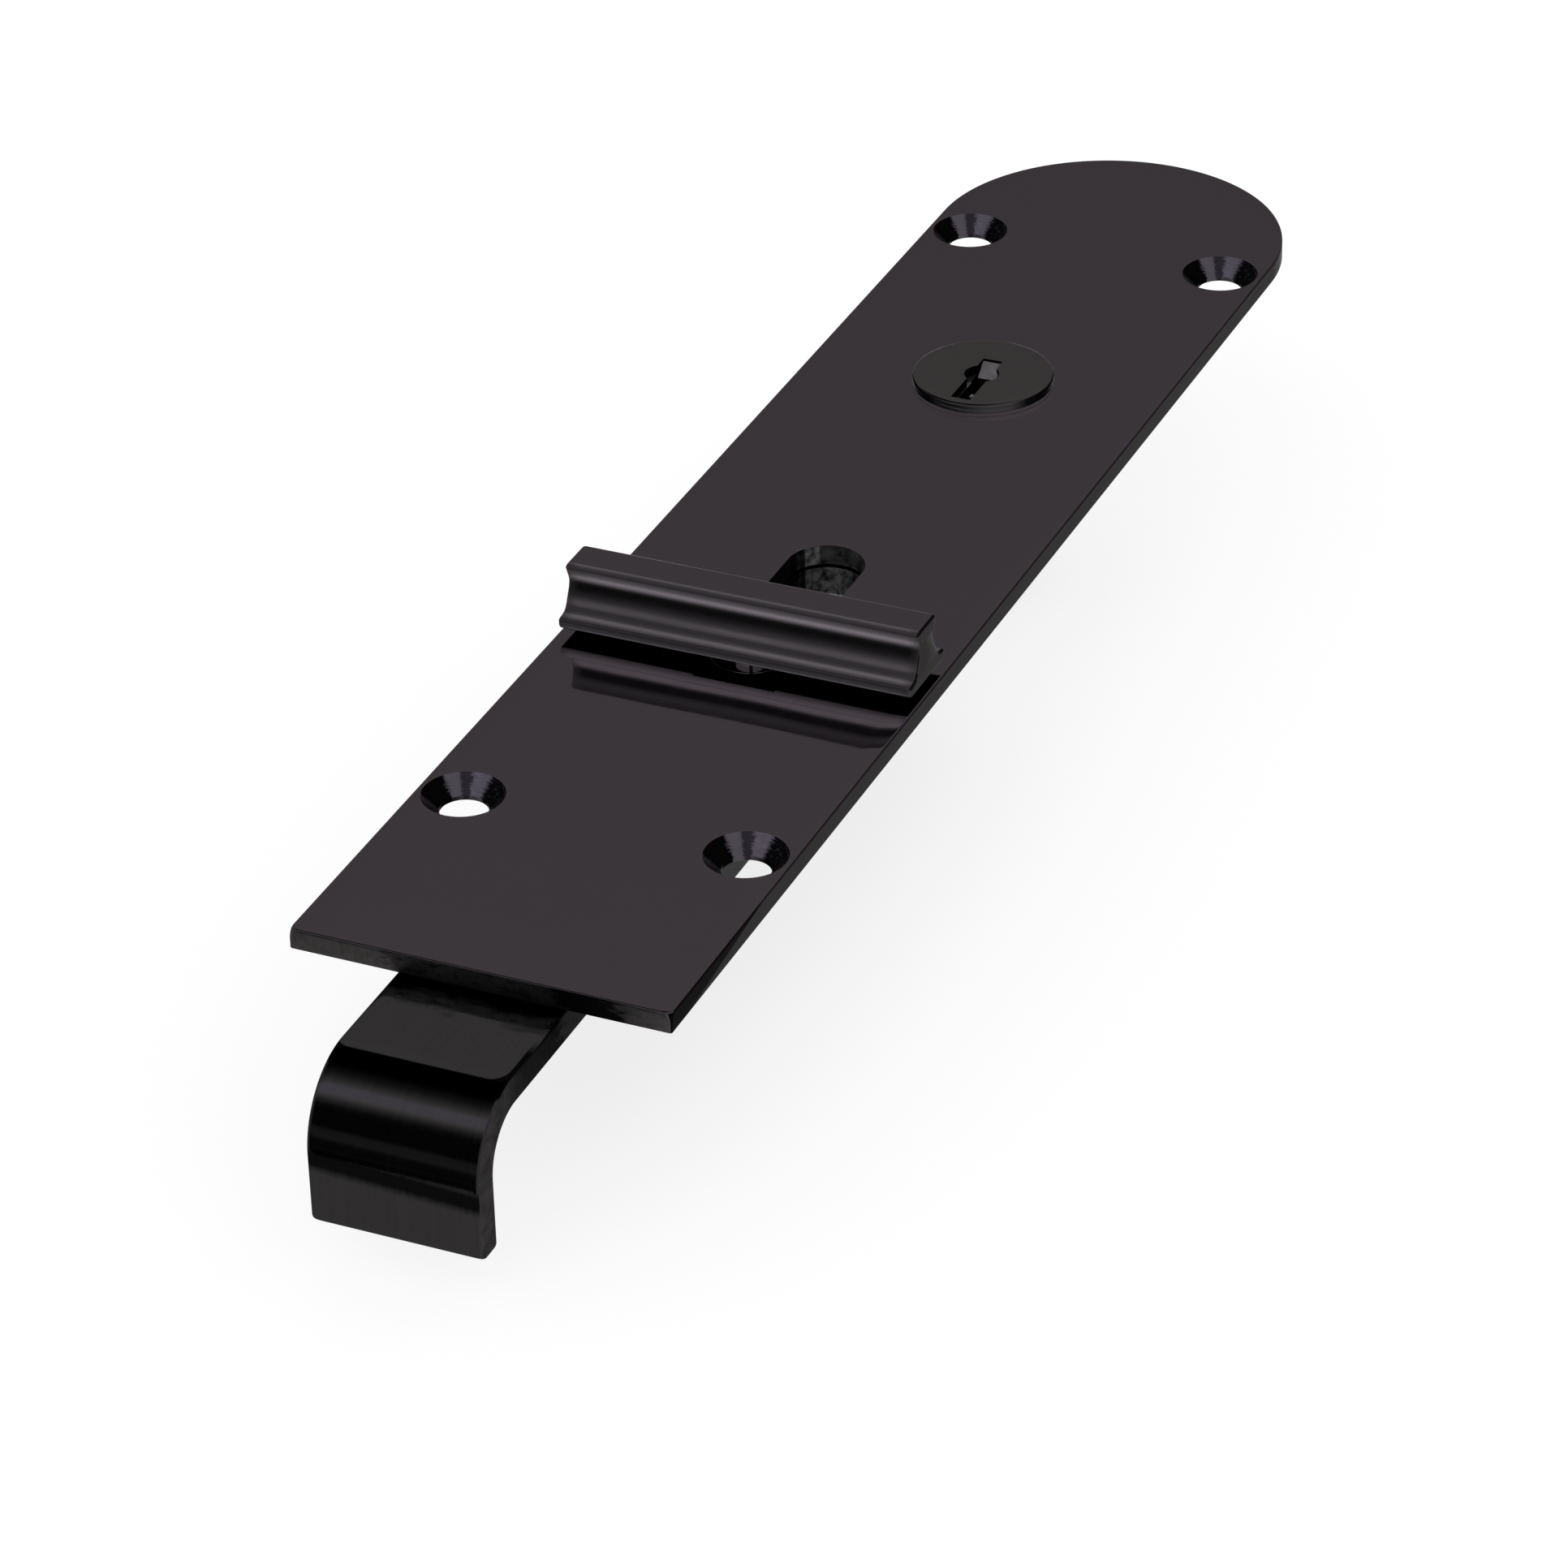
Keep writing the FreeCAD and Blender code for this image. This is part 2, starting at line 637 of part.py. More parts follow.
def cam_screw():
    """A slotted screw that holds the cam on the core."""
    seat = cam_bottom - cam_washer_thick
    head_end = seat - cam_screw_head_height
    head = rod(cam_screw_head_d, head_end, seat)
    head = head.makeChamfer(cam_screw_head_bevel, flat_edges(head, head_end))
    reach, half = cam_screw_head_d, cam_screw_slot_width / 2
    head = head.cut(block(-reach, reach, -half, half, head_end, head_end + cam_screw_slot_depth))
    shank_end = cam_top + cam_screw_depth - cam_thick - fit_gap
    screw = head.fuse(rod(cam_screw_d, seat, shank_end)).removeSplitter()
    screw.translate(V(0, lock_y, 0))
    return screw


NODES = {
    "face_plate": face_plate,
    "guide_case": guide_case,
    "case_studs": case_studs,
    "case_washers": case_washers,
    "case_nuts": case_nuts,
    "slide_rail_left": lambda: slide_rail(-1),
    "slide_rail_right": lambda: slide_rail(1),
    "friction_spring": friction_spring,
    "spring_rivets": spring_rivets,
    "bolt_bar": bolt_bar,
    "grip": grip,
    "grip_post": grip_post,
    "slot_bush": slot_bush,
    "post_washer": post_washer,
    "post_nut": post_nut,
    "lock_tail": lock_tail,
    "tail_rivets": tail_rivets,
    "lock_barrel": lock_barrel,
    "lock_washer": lock_washer,
    "lock_nut": lock_nut,
    "lock_plug": lock_plug,
    "flap_pin": flap_pin,
    "key_flap": key_flap,
    "lock_cam": lock_cam,
    "cam_washer": cam_washer,
    "cam_screw": cam_screw,
}

os.makedirs("parts", exist_ok=True)
for node, build in NODES.items():
    build().exportStep(os.path.join("parts", node + ".step"))
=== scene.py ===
import bpy
import bmesh
import json
import math
from mathutils import Euler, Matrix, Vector


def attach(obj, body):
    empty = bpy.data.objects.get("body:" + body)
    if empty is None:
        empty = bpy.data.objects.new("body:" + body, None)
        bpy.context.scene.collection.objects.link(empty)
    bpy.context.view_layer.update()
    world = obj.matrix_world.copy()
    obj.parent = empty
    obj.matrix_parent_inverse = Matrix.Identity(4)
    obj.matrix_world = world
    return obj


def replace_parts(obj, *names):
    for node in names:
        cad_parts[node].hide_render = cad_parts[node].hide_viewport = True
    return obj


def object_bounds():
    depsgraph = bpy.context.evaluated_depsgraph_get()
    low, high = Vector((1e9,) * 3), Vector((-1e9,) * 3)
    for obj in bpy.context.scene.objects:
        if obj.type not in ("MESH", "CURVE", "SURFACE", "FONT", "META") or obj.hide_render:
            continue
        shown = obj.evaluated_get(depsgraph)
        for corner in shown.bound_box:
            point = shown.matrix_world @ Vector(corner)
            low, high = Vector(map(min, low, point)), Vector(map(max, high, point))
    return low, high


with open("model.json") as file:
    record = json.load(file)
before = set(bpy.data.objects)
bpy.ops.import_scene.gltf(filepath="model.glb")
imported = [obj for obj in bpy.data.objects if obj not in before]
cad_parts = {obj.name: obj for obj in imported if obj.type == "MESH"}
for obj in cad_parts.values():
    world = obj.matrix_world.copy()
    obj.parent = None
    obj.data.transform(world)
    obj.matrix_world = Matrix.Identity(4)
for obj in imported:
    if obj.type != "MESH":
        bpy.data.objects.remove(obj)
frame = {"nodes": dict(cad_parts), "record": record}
cad_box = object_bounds()

# Lockable flush bolt in polished black chrome. Shapes are written in millimetres in the frame of the
# solids: X across the plate, Y along it towards the round end, Z out of its face.
MM = 0.001

PLATE_LENGTH, PLATE_WIDTH, PLATE_THICK = 230.0, 50.0, 2.8
PLATE_HALF, PLATE_CORNER = PLATE_WIDTH / 2, 0.3
PLATE_FRONT = -117.5
ROUND_CENTRE = PLATE_FRONT + PLATE_LENGTH - PLATE_HALF
CORNER_WEAR = 1.0
SCREW_X, SCREW_Y = 19.0, 82.5
SCREW_HOLE_R, COUNTERSINK_R, CONE_DEPTH = 3.1, 5.25, 2.2
ROLL_WIDTH, ROLL_STEEP, WAVE_SCALE, WAVE_HEIGHT = 2.6, 15.0, 45.0, 0.1
GRIP_Y, LOCK_Y, TRAVEL = -38.15, 40.5, 24.0
SLOT_R = 5.2
SLOT_FAR_Y = GRIP_Y + TRAVEL

BAR_HALF, BAR_TOP, BAR_BOTTOM, BAR_END = 11.2, -0.5, -4.5, 0.5
BAR_THICK = BAR_TOP - BAR_BOTTOM
TONGUE_FRONT, TONGUE_TIP, TONGUE_BEND = PLATE_FRONT - 24.0, -20.5, 6.5
# Where the bar's painted reflections lie: its flat before the bend with rounded corners, and the lean of the painted
# dark band low on the tongue
FLAT_CENTRE, FLAT_HALF_X, FLAT_HALF_Y, FLAT_CORNER = (-0.5, PLATE_FRONT - 4.9), 11.0, 10.4, 2.2
FOOT_LEAN = 0.045

GRIP_HALF, GRIP_BOTTOM, GRIP_HEIGHT = 24.4, PLATE_THICK + 1.3, 8.0
# How the grip's painted reflection bands fade to a plain painted grey at its ends, and how far they are capped along
# the rear crown
GRIP_FADE, FADE_SHARE, FADE_SHADE, REAR_CROWN = 1.6, 0.6, 0.45, 0.13
RECESS_HALF, RECESS_DEPTH, STEM_REACH = 5.7, 0.35, 5.0
POST_R, STEM_R, STEM_HOLE_R = 2.0, 1.5, 1.55
BUSH_R, BUSH_TOP = 4.9, PLATE_THICK - 0.3

BARREL_R, BARREL_FLAT, BARREL_DEPTH, BORE_R = 8.8, 8.2, 21.0, 7.75
FLANGE_R, FLANGE_TOP = 9.6, PLATE_THICK + 0.45
HEAD_R, HEAD_BOTTOM, HEAD_TOP = 9.7, PLATE_THICK + 0.5, PLATE_THICK + 1.4
CORE_R, CORE_END, CORE_SHOULDER, CORE_STEM_R = 7.7, -23.2, -21.3, 4.0
KEYWAY_HALF, KEYWAY_LOW, KEYWAY_HIGH = 1.4, -8.2, 3.7
KEY_BLADE_HALF, KEY_BLADE_LOW, KEY_DEPTH, FLAP_ROOM_LOW, FLAP_ROOM_DEPTH = 1.2, -6.9, 20.0, -1.2, 6.0
KEY_EYE_R, KEY_EYE_Y, KEYWAY_LEDGE, WARD_LEFT, FLAP_SLANT = 2.4, -0.5, 1.3, 0.6, 0.235

# Turning rings and paint grain, as counts per metre, and the breaks in a ring
RINGS_PER_METRE, RING_BREAKS, GRAINS_PER_METRE = 7000.0, 30.0, 3000.0
SOFT_EDGE_WIDTH, SOFT_EDGE_ANGLE, WELD_DISTANCE = 0.12, 40.0, 1e-6

CAMERA_PLACE, CAMERA_TURN = (0.287711, -0.662297, 0.405540), (58.4033, 1.3457, 23.607)
CAMERA_LENS, CAMERA_SENSOR, CAMERA_NEAR = 143.767, 36.0, 0.05
FLOOR_REACH, FLOOR_BASE, FLOOR_GLOW = 2.0, 0.3, 0.72


def arc(cx, cy, radius, start, end, steps):
    """Points on an arc, angles in degrees."""
    angles = [math.radians(start + (end - start) * k / steps) for k in range(steps + 1)]
    return [(cx + radius * math.cos(a), cy + radius * math.sin(a)) for a in angles]


def circle(cx, cy, radius, steps):
    """Points of a full circle, without a repeat of the first."""
    return arc(cx, cy, radius, 0, 360, steps)[:-1]


def rounded(corners, step_deg=2.0, lead=0.25):
    """A closed outline from (x, y, radius) corners, with a point close to each end of every arc."""
    points = []
    count = len(corners)
    for k, (x, y, r) in enumerate(corners):
        here = Vector((x, y))
        back = (Vector(corners[k - 1][:2]) - here).normalized()
        ahead = (Vector(corners[(k + 1) % count][:2]) - here).normalized()
        turn = math.pi - back.angle(ahead)
        run = r * math.tan(turn / 2)
        start, end = here + back * run, here + ahead * run
        centre = here + (back + ahead).normalized() * (r / math.cos(turn / 2))
        steps = max(4, round(math.degrees(turn) / step_deg))
        first, last = start - centre, end - centre
        points.append(tuple(start + back * lead))
        sweep = first.angle_signed(last)
        for s in range(steps + 1):
            a = -sweep * s / steps
            c, n = math.cos(a), math.sin(a)
            points.append((centre.x + first.x * c - first.y * n, centre.y + first.x * n + first.y * c))
        points.append(tuple(end + ahead * lead))
    return points


def smooth_curve(points, steps=10):
    """A smooth open curve through the points."""
    ends = [points[0]] + list(points) + [points[-1]]
    out = []
    for p0, p1, p2, p3 in zip(ends, ends[1:], ends[2:], ends[3:]):
        for s in range(steps):
            t = s / steps
            out.append(tuple(0.5 * (2 * b + (c - a) * t + (2 * a - 5 * b + 4 * c - d) * t * t
                                    + (3 * b - a - 3 * c + d) * t ** 3)
                             for a, b, c, d in zip(p0, p1, p2, p3)))
    out.append(tuple(points[-1]))
    return out


def normals(points):
    """Outward unit normals of a closed outline that runs anticlockwise."""
    out = []
    count = len(points)
    for k in range(count):
        a, b, c = (Vector(points[(k + s) % count]) for s in (-1, 0, 1))
        edge = (b - a).normalized() + (c - b).normalized()
        out.append(Vector((edge.y, -edge.x)).normalized())
    return out


def anticlockwise(points):
    """The same closed outline, running anticlockwise."""
    area = sum(a[0] * b[1] - b[0] * a[1] for a, b in zip(points, points[1:] + points[:1]))
    return points if area > 0 else points[::-1]


def ring(bm, points):
    """Mesh vertices at points in millimetres."""
    return [bm.verts.new(Vector(p) * MM) for p in points]


def skin(bm, lower, upper):
    """A closed band of smooth faces between two rings."""
    count = len(lower)
    for k in range(count):
        n = (k + 1) % count
        bm.faces.new((lower[k], lower[n], upper[n], upper[k])).smooth = True


def cap(bm, rings):
    """A flat face with an outer ring and holes."""
    edges = []
    for loop in rings:
        for a, b in zip(loop, loop[1:] + loop[:1]):
            edges.append(bm.edges.get((a, b)) or bm.edges.new((a, b)))
    made = bmesh.ops.triangle_fill(bm, use_beauty=True, use_dissolve=False, edges=edges)
    for item in made["geom"]:
        if isinstance(item, bmesh.types.BMFace):
            item.smooth = False


def skin_all(bm, rings):
    """Bands of smooth faces between neighbouring rings. Returns the rings."""
    for a, b in zip(rings, rings[1:]):
        skin(bm, a, b)
    return rings


def stack(bm, outline, levels):
    """Rings of a flat outline, one for each (inset, height) level, skinned together."""
    sides = normals(outline)
    return skin_all(bm, [ring(bm, [(x - n.x * inset, y - n.y * inset, z) for (x, y), n in zip(outline, sides)])
                         for inset, z in levels])


def sweep_x(bm, outline, half, shoulder):
    """A side outline of (y, z) points swept across X, with softened ends from (run, drop) pairs."""
    sides = normals(outline)
    stations = [(-half + run, drop) for run, drop in shoulder]
    stations += [(half - run, drop) for run, drop in reversed(shoulder)]
    rings = skin_all(bm, [ring(bm, [(x, y - n.x * drop, z - n.y * drop) for (y, z), n in zip(outline, sides)])
                          for x, drop in stations])
    cap(bm, [rings[0]])
    cap(bm, [rings[-1]])


def lathe(bm, profile, x=0.0, y=0.0, steps=96, closed=False, solid=False):
    """A body of revolution about Z from (radius, z) points, closed to a tube or capped to a solid."""
    rings = [ring(bm, [(px, py, z) for px, py in circle(x, y, r, steps)]) for r, z in profile]
    if solid:
        cap(bm, [rings[0]])
        cap(bm, [rings[-1]])
    return skin_all(bm, rings + rings[:1] if closed else rings)


def finished(bm, name, sharp=30.0):
    """A linked object from the mesh, its edges sharp above an angle."""
    bmesh.ops.remove_doubles(bm, verts=bm.verts, dist=1e-8)
    bmesh.ops.recalc_face_normals(bm, faces=bm.faces)
    mesh = bpy.data.meshes.new(name)
    bm.to_mesh(mesh)
    bm.free()
    mesh.set_sharp_from_angle(angle=math.radians(sharp))
    thing = bpy.data.objects.new(name, mesh)
    bpy.context.scene.collection.objects.link(thing)
    return thing


def even_shading(thing):
    """Shading that follows the large faces, so that a flat face stays flat beside its rounded edge."""
    thing.modifiers.new("even_shading", "WEIGHTED_NORMAL").keep_sharp = True


def piece(thing, body, slot, material, *nodes):
    """The object rides on a body, takes a finish and stands for the named nodes."""
    thing.data.materials.append(material)
    even_shading(thing)
    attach(thing, body)
    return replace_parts(thing, *nodes)


def paint(thing, *rules):
    """Gives faces another material where a rule on their centre and normal holds."""
    first = len(thing.data.materials)
    for material, _ in rules:
        thing.data.materials.append(material)
    for face in thing.data.polygons:
        centre = face.center / MM
        for k, (_, test) in enumerate(rules):
            if test(centre, face.normal):
                face.material_index = first + k
                break
    return thing


def cut(thing, cutters, sharp=30.0):
    """Cuts closed meshes out of an object."""
    thing.modifiers.clear()
    for cutter in cutters:
        cutter.modifiers.clear()
        mod = thing.modifiers.new("cut", "BOOLEAN")
        mod.object = cutter
        mod.solver = "EXACT"
        mod.operation = "DIFFERENCE"
    bpy.context.view_layer.update()
    mesh = bpy.data.meshes.new_from_object(thing.evaluated_get(bpy.context.evaluated_depsgraph_get()))
    thing.modifiers.clear()
    old = thing.data
    thing.data = mesh
    bpy.data.meshes.remove(old)
    mesh.name = thing.name
    mesh.set_sharp_from_angle(angle=math.radians(sharp))
    even_shading(thing)
    for cutter in cutters:
        bpy.data.objects.remove(cutter)
    return thing


def prism(outline, z0, z1):
    """A closed upright prism for cutting."""
    bm = bmesh.new()
    rings = stack(bm, anticlockwise(outline), [(0, z0), (0, z1)])
    cap(bm, [rings[0]])
    cap(bm, [rings[-1]])
    return finished(bm, "cutter")


def box_outline(x0, x1, y0, y1):
    """The four corners of a rectangle, anticlockwise."""
    return [(x0, y0), (x1, y0), (x1, y1), (x0, y1)]


def add(tree, kind, **values):
    """A node with settings and input values, given by name."""
    node = tree.nodes.new(kind)
    for key, value in values.items():
        if hasattr(node, key):
            setattr(node, key, value)
        else:
            node.inputs[key.replace("_", " ")].default_value = value
    return node


def join(tree, source, target):
    """Links an output to an input, or sets the input where the source is a plain value."""
    if isinstance(source, bpy.types.NodeSocket):
        tree.links.new(source, target)
    else:
        target.default_value = source


def maths(tree, operation, a, b=0.0):
    """A maths node's value, each input a socket or a number."""
    node = add(tree, "ShaderNodeMath", operation=operation)
    join(tree, a, node.inputs[0])
    join(tree, b, node.inputs[1])
    return node.outputs[0]


def vector_maths(tree, operation, a, b=(0.0, 0.0, 0.0)):
    """A vector maths node's vector, each input a socket or a plain vector."""
    node = add(tree, "ShaderNodeVectorMath", operation=operation)
    join(tree, a, node.inputs[0])
    join(tree, b, node.inputs[1])
    return node.outputs[0]


def between(tree, value, low, high, start=0.0, end=1.0):
    """Maps a value from start..end to low..high, held at both ends."""
    node = add(tree, "ShaderNodeMapRange")
    for target, source in (("Value", value), ("From Min", start), ("From Max", end), ("To Min", low), ("To Max", high)):
        join(tree, source, node.inputs[target])
    return node.outputs["Result"]


def mixed(tree, factor, a, b, blend="MIX"):
    """A colour mix, each input a socket or a plain colour."""
    node = add(tree, "ShaderNodeMix", data_type="RGBA", blend_type=blend)
    join(tree, factor, node.inputs[0])
    for source, target in ((a, node.inputs[6]), (b, node.inputs[7])):
        join(tree, source if isinstance(source, bpy.types.NodeSocket) else (*source, 1.0), target)
    return node.outputs[2]


def ramp(tree, value, stops):
    """A colour ramp from (position, brightness or colour) stops."""
    node = add(tree, "ShaderNodeValToRGB")
    elements = node.color_ramp.elements
    while len(elements) < len(stops):
        elements.new(0.5)
    for element, (place, shade) in zip(elements, sorted(stops)):
        element.position = place
        element.color = (*(shade if isinstance(shade, tuple) else (shade,) * 3), 1.0)
    join(tree, value, node.inputs["Fac"])
    return node.outputs["Color"]


def new_group(name, inputs, outputs):
    """A shader node group with named sockets. Returns the tree and its end nodes."""
    tree = bpy.data.node_groups.new(name, "ShaderNodeTree")
    for label, kind, value in inputs:
        tree.interface.new_socket(label, in_out="INPUT", socket_type=kind).default_value = value
    for label in outputs:
        tree.interface.new_socket(label, in_out="OUTPUT", socket_type="NodeSocketFloat")
    return tree, tree.nodes.new("NodeGroupInput"), tree.nodes.new("NodeGroupOutput")


def streaks_group():
    """Fine polishing streaks: a height and a mask, long in one direction and narrow across it."""
    tree, given, out = new_group("polishing_streaks", [
        ("Scale", "NodeSocketVector", (1.0, 1.0, 1.0)), ("Roughness", "NodeSocketFloat", 0.6)], ["Height", "Mask"])
    place = add(tree, "ShaderNodeTexCoord").outputs["Object"]
    noise = add(tree, "ShaderNodeTexNoise", Scale=1.0, Detail=5.0)
    join(tree, vector_maths(tree, "MULTIPLY", place, given.outputs["Scale"]), noise.inputs["Vector"])
    join(tree, given.outputs["Roughness"], noise.inputs["Roughness"])
    join(tree, noise.outputs["Fac"], out.inputs["Height"])
    join(tree, between(tree, noise.outputs["Fac"], 0.0, 1.0, 0.35, 0.65), out.inputs["Mask"])
    return tree


def marks_group():
    """Scattered shallow pits and smudges: a pit mask and a slow cloud mask."""
    tree, given, out = new_group("pits_and_clouds", [
        ("Pit Scale", "NodeSocketFloat", 700.0), ("Pit Share", "NodeSocketFloat", 0.06),
        ("Cloud Scale", "NodeSocketFloat", 60.0)], ["Pits", "Clouds"])
    place = add(tree, "ShaderNodeTexCoord").outputs["Object"]
    cells = add(tree, "ShaderNodeTexVoronoi")
    join(tree, place, cells.inputs["Vector"])
    join(tree, given.outputs["Pit Scale"], cells.inputs["Scale"])
    join(tree, maths(tree, "LESS_THAN", cells.outputs["Distance"], given.outputs["Pit Share"]), out.inputs["Pits"])
    clouds = add(tree, "ShaderNodeTexNoise", Detail=4.0)
    join(tree, place, clouds.inputs["Vector"])
    join(tree, given.outputs["Cloud Scale"], clouds.inputs["Scale"])
    join(tree, between(tree, clouds.outputs["Fac"], 0.0, 1.0, 0.3, 0.7), out.inputs["Clouds"])
    return tree


def around_group():
    """The turn around the nearest of the axes that stand at plus and minus a pitch, made ragged by fine turning
    rings, and a mask of the brightest rings."""
    tree, given, out = new_group("around_axis", [
        ("Pitch", "NodeSocketVector", (0.0, 0.0, 0.0)), ("Jitter", "NodeSocketFloat", 0.01)], ["Turn", "Marks"])
    place = add(tree, "ShaderNodeTexCoord").outputs["Object"]
    side = vector_maths(tree, "SIGN", place)
    local = vector_maths(tree, "SUBTRACT", place, vector_maths(tree, "MULTIPLY", side, given.outputs["Pitch"]))
    parts = add(tree, "ShaderNodeSeparateXYZ")
    join(tree, local, parts.inputs[0])
    x, y = parts.outputs["X"], parts.outputs["Y"]
    turn = maths(tree, "FRACT", maths(tree, "DIVIDE", maths(tree, "ARCTAN2", y, x), 2 * math.pi))
    squares = maths(tree, "ADD", maths(tree, "POWER", x, 2.0), maths(tree, "POWER", y, 2.0))
    where = add(tree, "ShaderNodeCombineXYZ")
    join(tree, maths(tree, "MULTIPLY", maths(tree, "SQRT", squares), RINGS_PER_METRE), where.inputs[0])
    join(tree, maths(tree, "MULTIPLY", turn, RING_BREAKS), where.inputs[1])
    rings = add(tree, "ShaderNodeTexNoise", Scale=1.0, Detail=3.0)
    join(tree, where.outputs[0], rings.inputs["Vector"])
    jitter = given.outputs["Jitter"]
    shift = between(tree, rings.outputs["Fac"], maths(tree, "MULTIPLY", jitter, -1.0), jitter, 0.3, 0.7)
    join(tree, maths(tree, "ADD", turn, shift), out.inputs["Turn"])
    join(tree, between(tree, rings.outputs["Fac"], 0.0, 1.0, 0.57, 0.66), out.inputs["Marks"])
    return tree


STREAKS, MARKS, AROUND = streaks_group(), marks_group(), around_group()


def group_node(tree, group, **values):
    """A shader node group's node, with input values given by name."""
    node = tree.nodes.new("ShaderNodeGroup")
    node.node_tree = group
    for key, value in values.items():
        node.inputs[key.replace("_", " ")].default_value = value
    return node


def turned_bands(pitch, stops, jitter=0.012, streaks=None):
    """Painted reflection bands around an axis, from (degrees, brightness) stops, with painted light on ring marks by
    the streak stops.
    """
    def pattern(tree):
        around = group_node(tree, AROUND, Pitch=(pitch[0] * MM, pitch[1] * MM, 0), Jitter=jitter)
        bands = ramp(tree, around.outputs["Turn"], [(degrees / 360, shade) for degrees, shade in stops])
        if not streaks:
            return bands
        share = ramp(tree, around.outputs["Turn"], [(degrees / 360, shade) for degrees, shade in streaks])
        return mixed(tree, 1.0, bands, maths(tree, "MULTIPLY", share, around.outputs["Marks"]), "ADD")
    return pattern


def metal(name, tint, rough, streaks, depth, spread=0.04, pits=0.0, cloud=0.02, cloud_scale=60.0, edge=0.5,
          pattern=None, streak_shade=0.0, roll=None, lit=None, seen_rough=None, seen_plain=False,
          seen_pattern=None, seen_glow=0.0):
    """Plated metal: streaked, pitted and clouded. Streaks are counts per metre and the depth is in millimetres.
    Where lit is given, other mirrors see a painted lighter copy of the metal in that tint, and the seen values change
    what they see; the seen glow is a painted glow."""
    mat = bpy.data.materials.new(name)
    mat.use_nodes = True
    tree = mat.node_tree
    shader = tree.nodes["Principled BSDF"]
    shader.inputs["Metallic"].default_value = 1.0
    shader.inputs["Specular Tint"].default_value = (edge, edge, edge, 1.0)
    surface = group_node(tree, STREAKS, Scale=streaks)
    marks = group_node(tree, MARKS, Pit_Share=pits, Cloud_Scale=cloud_scale)
    shade = between(tree, marks.outputs["Clouds"], 1 - cloud, 1 + cloud)
    streak = between(tree, surface.outputs["Mask"], 1 - streak_shade, 1 + streak_shade)
    shade = maths(tree, "MULTIPLY", shade, streak)
    banded = mixed(tree, 1.0, shade, pattern(tree), "MULTIPLY") if pattern else shade
    colour = mixed(tree, 1.0, tint, banded, "MULTIPLY")
    direct = add(tree, "ShaderNodeLightPath").outputs["Is Camera Ray"]
    # Painted light: other surfaces see a lighter copy of the dark plating
    if lit:
        mirrored = shade if seen_plain else banded
        if seen_pattern:
            mirrored = mixed(tree, 1.0, shade, seen_pattern(tree), "MULTIPLY")
        colour = mixed(tree, direct, mixed(tree, 1.0, lit, mirrored, "MULTIPLY"), colour)
    join(tree, colour, shader.inputs["Base Color"])
    dull = between(tree, surface.outputs["Mask"], rough, rough + spread)
    if seen_rough:
        dull = between(tree, direct, seen_rough, dull)
    join(tree, dull, shader.inputs["Roughness"])
    # A painted glow that only other surfaces see
    if seen_glow:
        join(tree, mirrored, shader.inputs["Emission Color"])
        join(tree, between(tree, direct, seen_glow, 0.0), shader.inputs["Emission Strength"])
    bump = add(tree, "ShaderNodeBump", Strength=1.0, Distance=depth * MM)
    height = maths(tree, "SUBTRACT", surface.outputs["Height"], marks.outputs["Pits"])
    if roll:
        height = maths(tree, "ADD", height, maths(tree, "DIVIDE", roll(tree), depth * MM))
    join(tree, height, bump.inputs["Height"])
    join(tree, bump.outputs["Normal"], shader.inputs["Normal"])
    return mat


def coated(name, dark, light, rough, cloud_scale, grain, shine=0.5):
    """Paint or plastic: a clouded colour with a fine grain, its depth in millimetres."""
    mat = bpy.data.materials.new(name)
    mat.use_nodes = True
    tree = mat.node_tree
    shader = tree.nodes["Principled BSDF"]
    shader.inputs["Specular IOR Level"].default_value = shine
    marks = group_node(tree, MARKS, Pit_Share=0.0, Cloud_Scale=cloud_scale)
    join(tree, ramp(tree, marks.outputs["Clouds"], [(0.0, dark), (1.0, light)]), shader.inputs["Base Color"])
    join(tree, between(tree, marks.outputs["Clouds"], rough, rough + 0.15), shader.inputs["Roughness"])
    bump = add(tree, "ShaderNodeBump", Strength=1.0, Distance=grain * MM)
    join(tree, group_node(tree, STREAKS, Scale=(GRAINS_PER_METRE,) * 3).outputs["Height"], bump.inputs["Height"])
    join(tree, bump.outputs["Normal"], shader.inputs["Normal"])
    return mat


def place_parts(tree):
    """The object's own X, Y and Z in metres."""
    parts = add(tree, "ShaderNodeSeparateXYZ")
    join(tree, add(tree, "ShaderNodeTexCoord").outputs["Object"], parts.inputs[0])
    return parts.outputs["X"], parts.outputs["Y"], parts.outputs["Z"]


def plate_roll(tree):
    """The face's height in metres: slow waves, and polished down towards the rim."""
    x, y, _ = place_parts(tree)
    across = add(tree, "ShaderNodeCombineXYZ")
    join(tree, x, across.inputs[0])
    join(tree, maths(tree, "MAXIMUM", maths(tree, "SUBTRACT", y, ROUND_CENTRE * MM), 0.0), across.inputs[1])
    reach = add(tree, "ShaderNodeVectorMath", operation="LENGTH")
    join(tree, across.outputs[0], reach.inputs[0])
    over = maths(tree, "MAXIMUM", maths(tree, "SUBTRACT", reach.outputs["Value"], (PLATE_HALF - ROLL_WIDTH) * MM), 0.0)
    fall = maths(tree, "MULTIPLY", maths(tree, "MULTIPLY", over, over), ROLL_STEEP)
    waves = add(tree, "ShaderNodeTexNoise", Scale=WAVE_SCALE, Detail=1.0)
    join(tree, add(tree, "ShaderNodeTexCoord").outputs["Object"], waves.inputs["Vector"])
    return maths(tree, "SUBTRACT", maths(tree, "MULTIPLY", waves.outputs["Fac"], WAVE_HEIGHT * MM), fall)


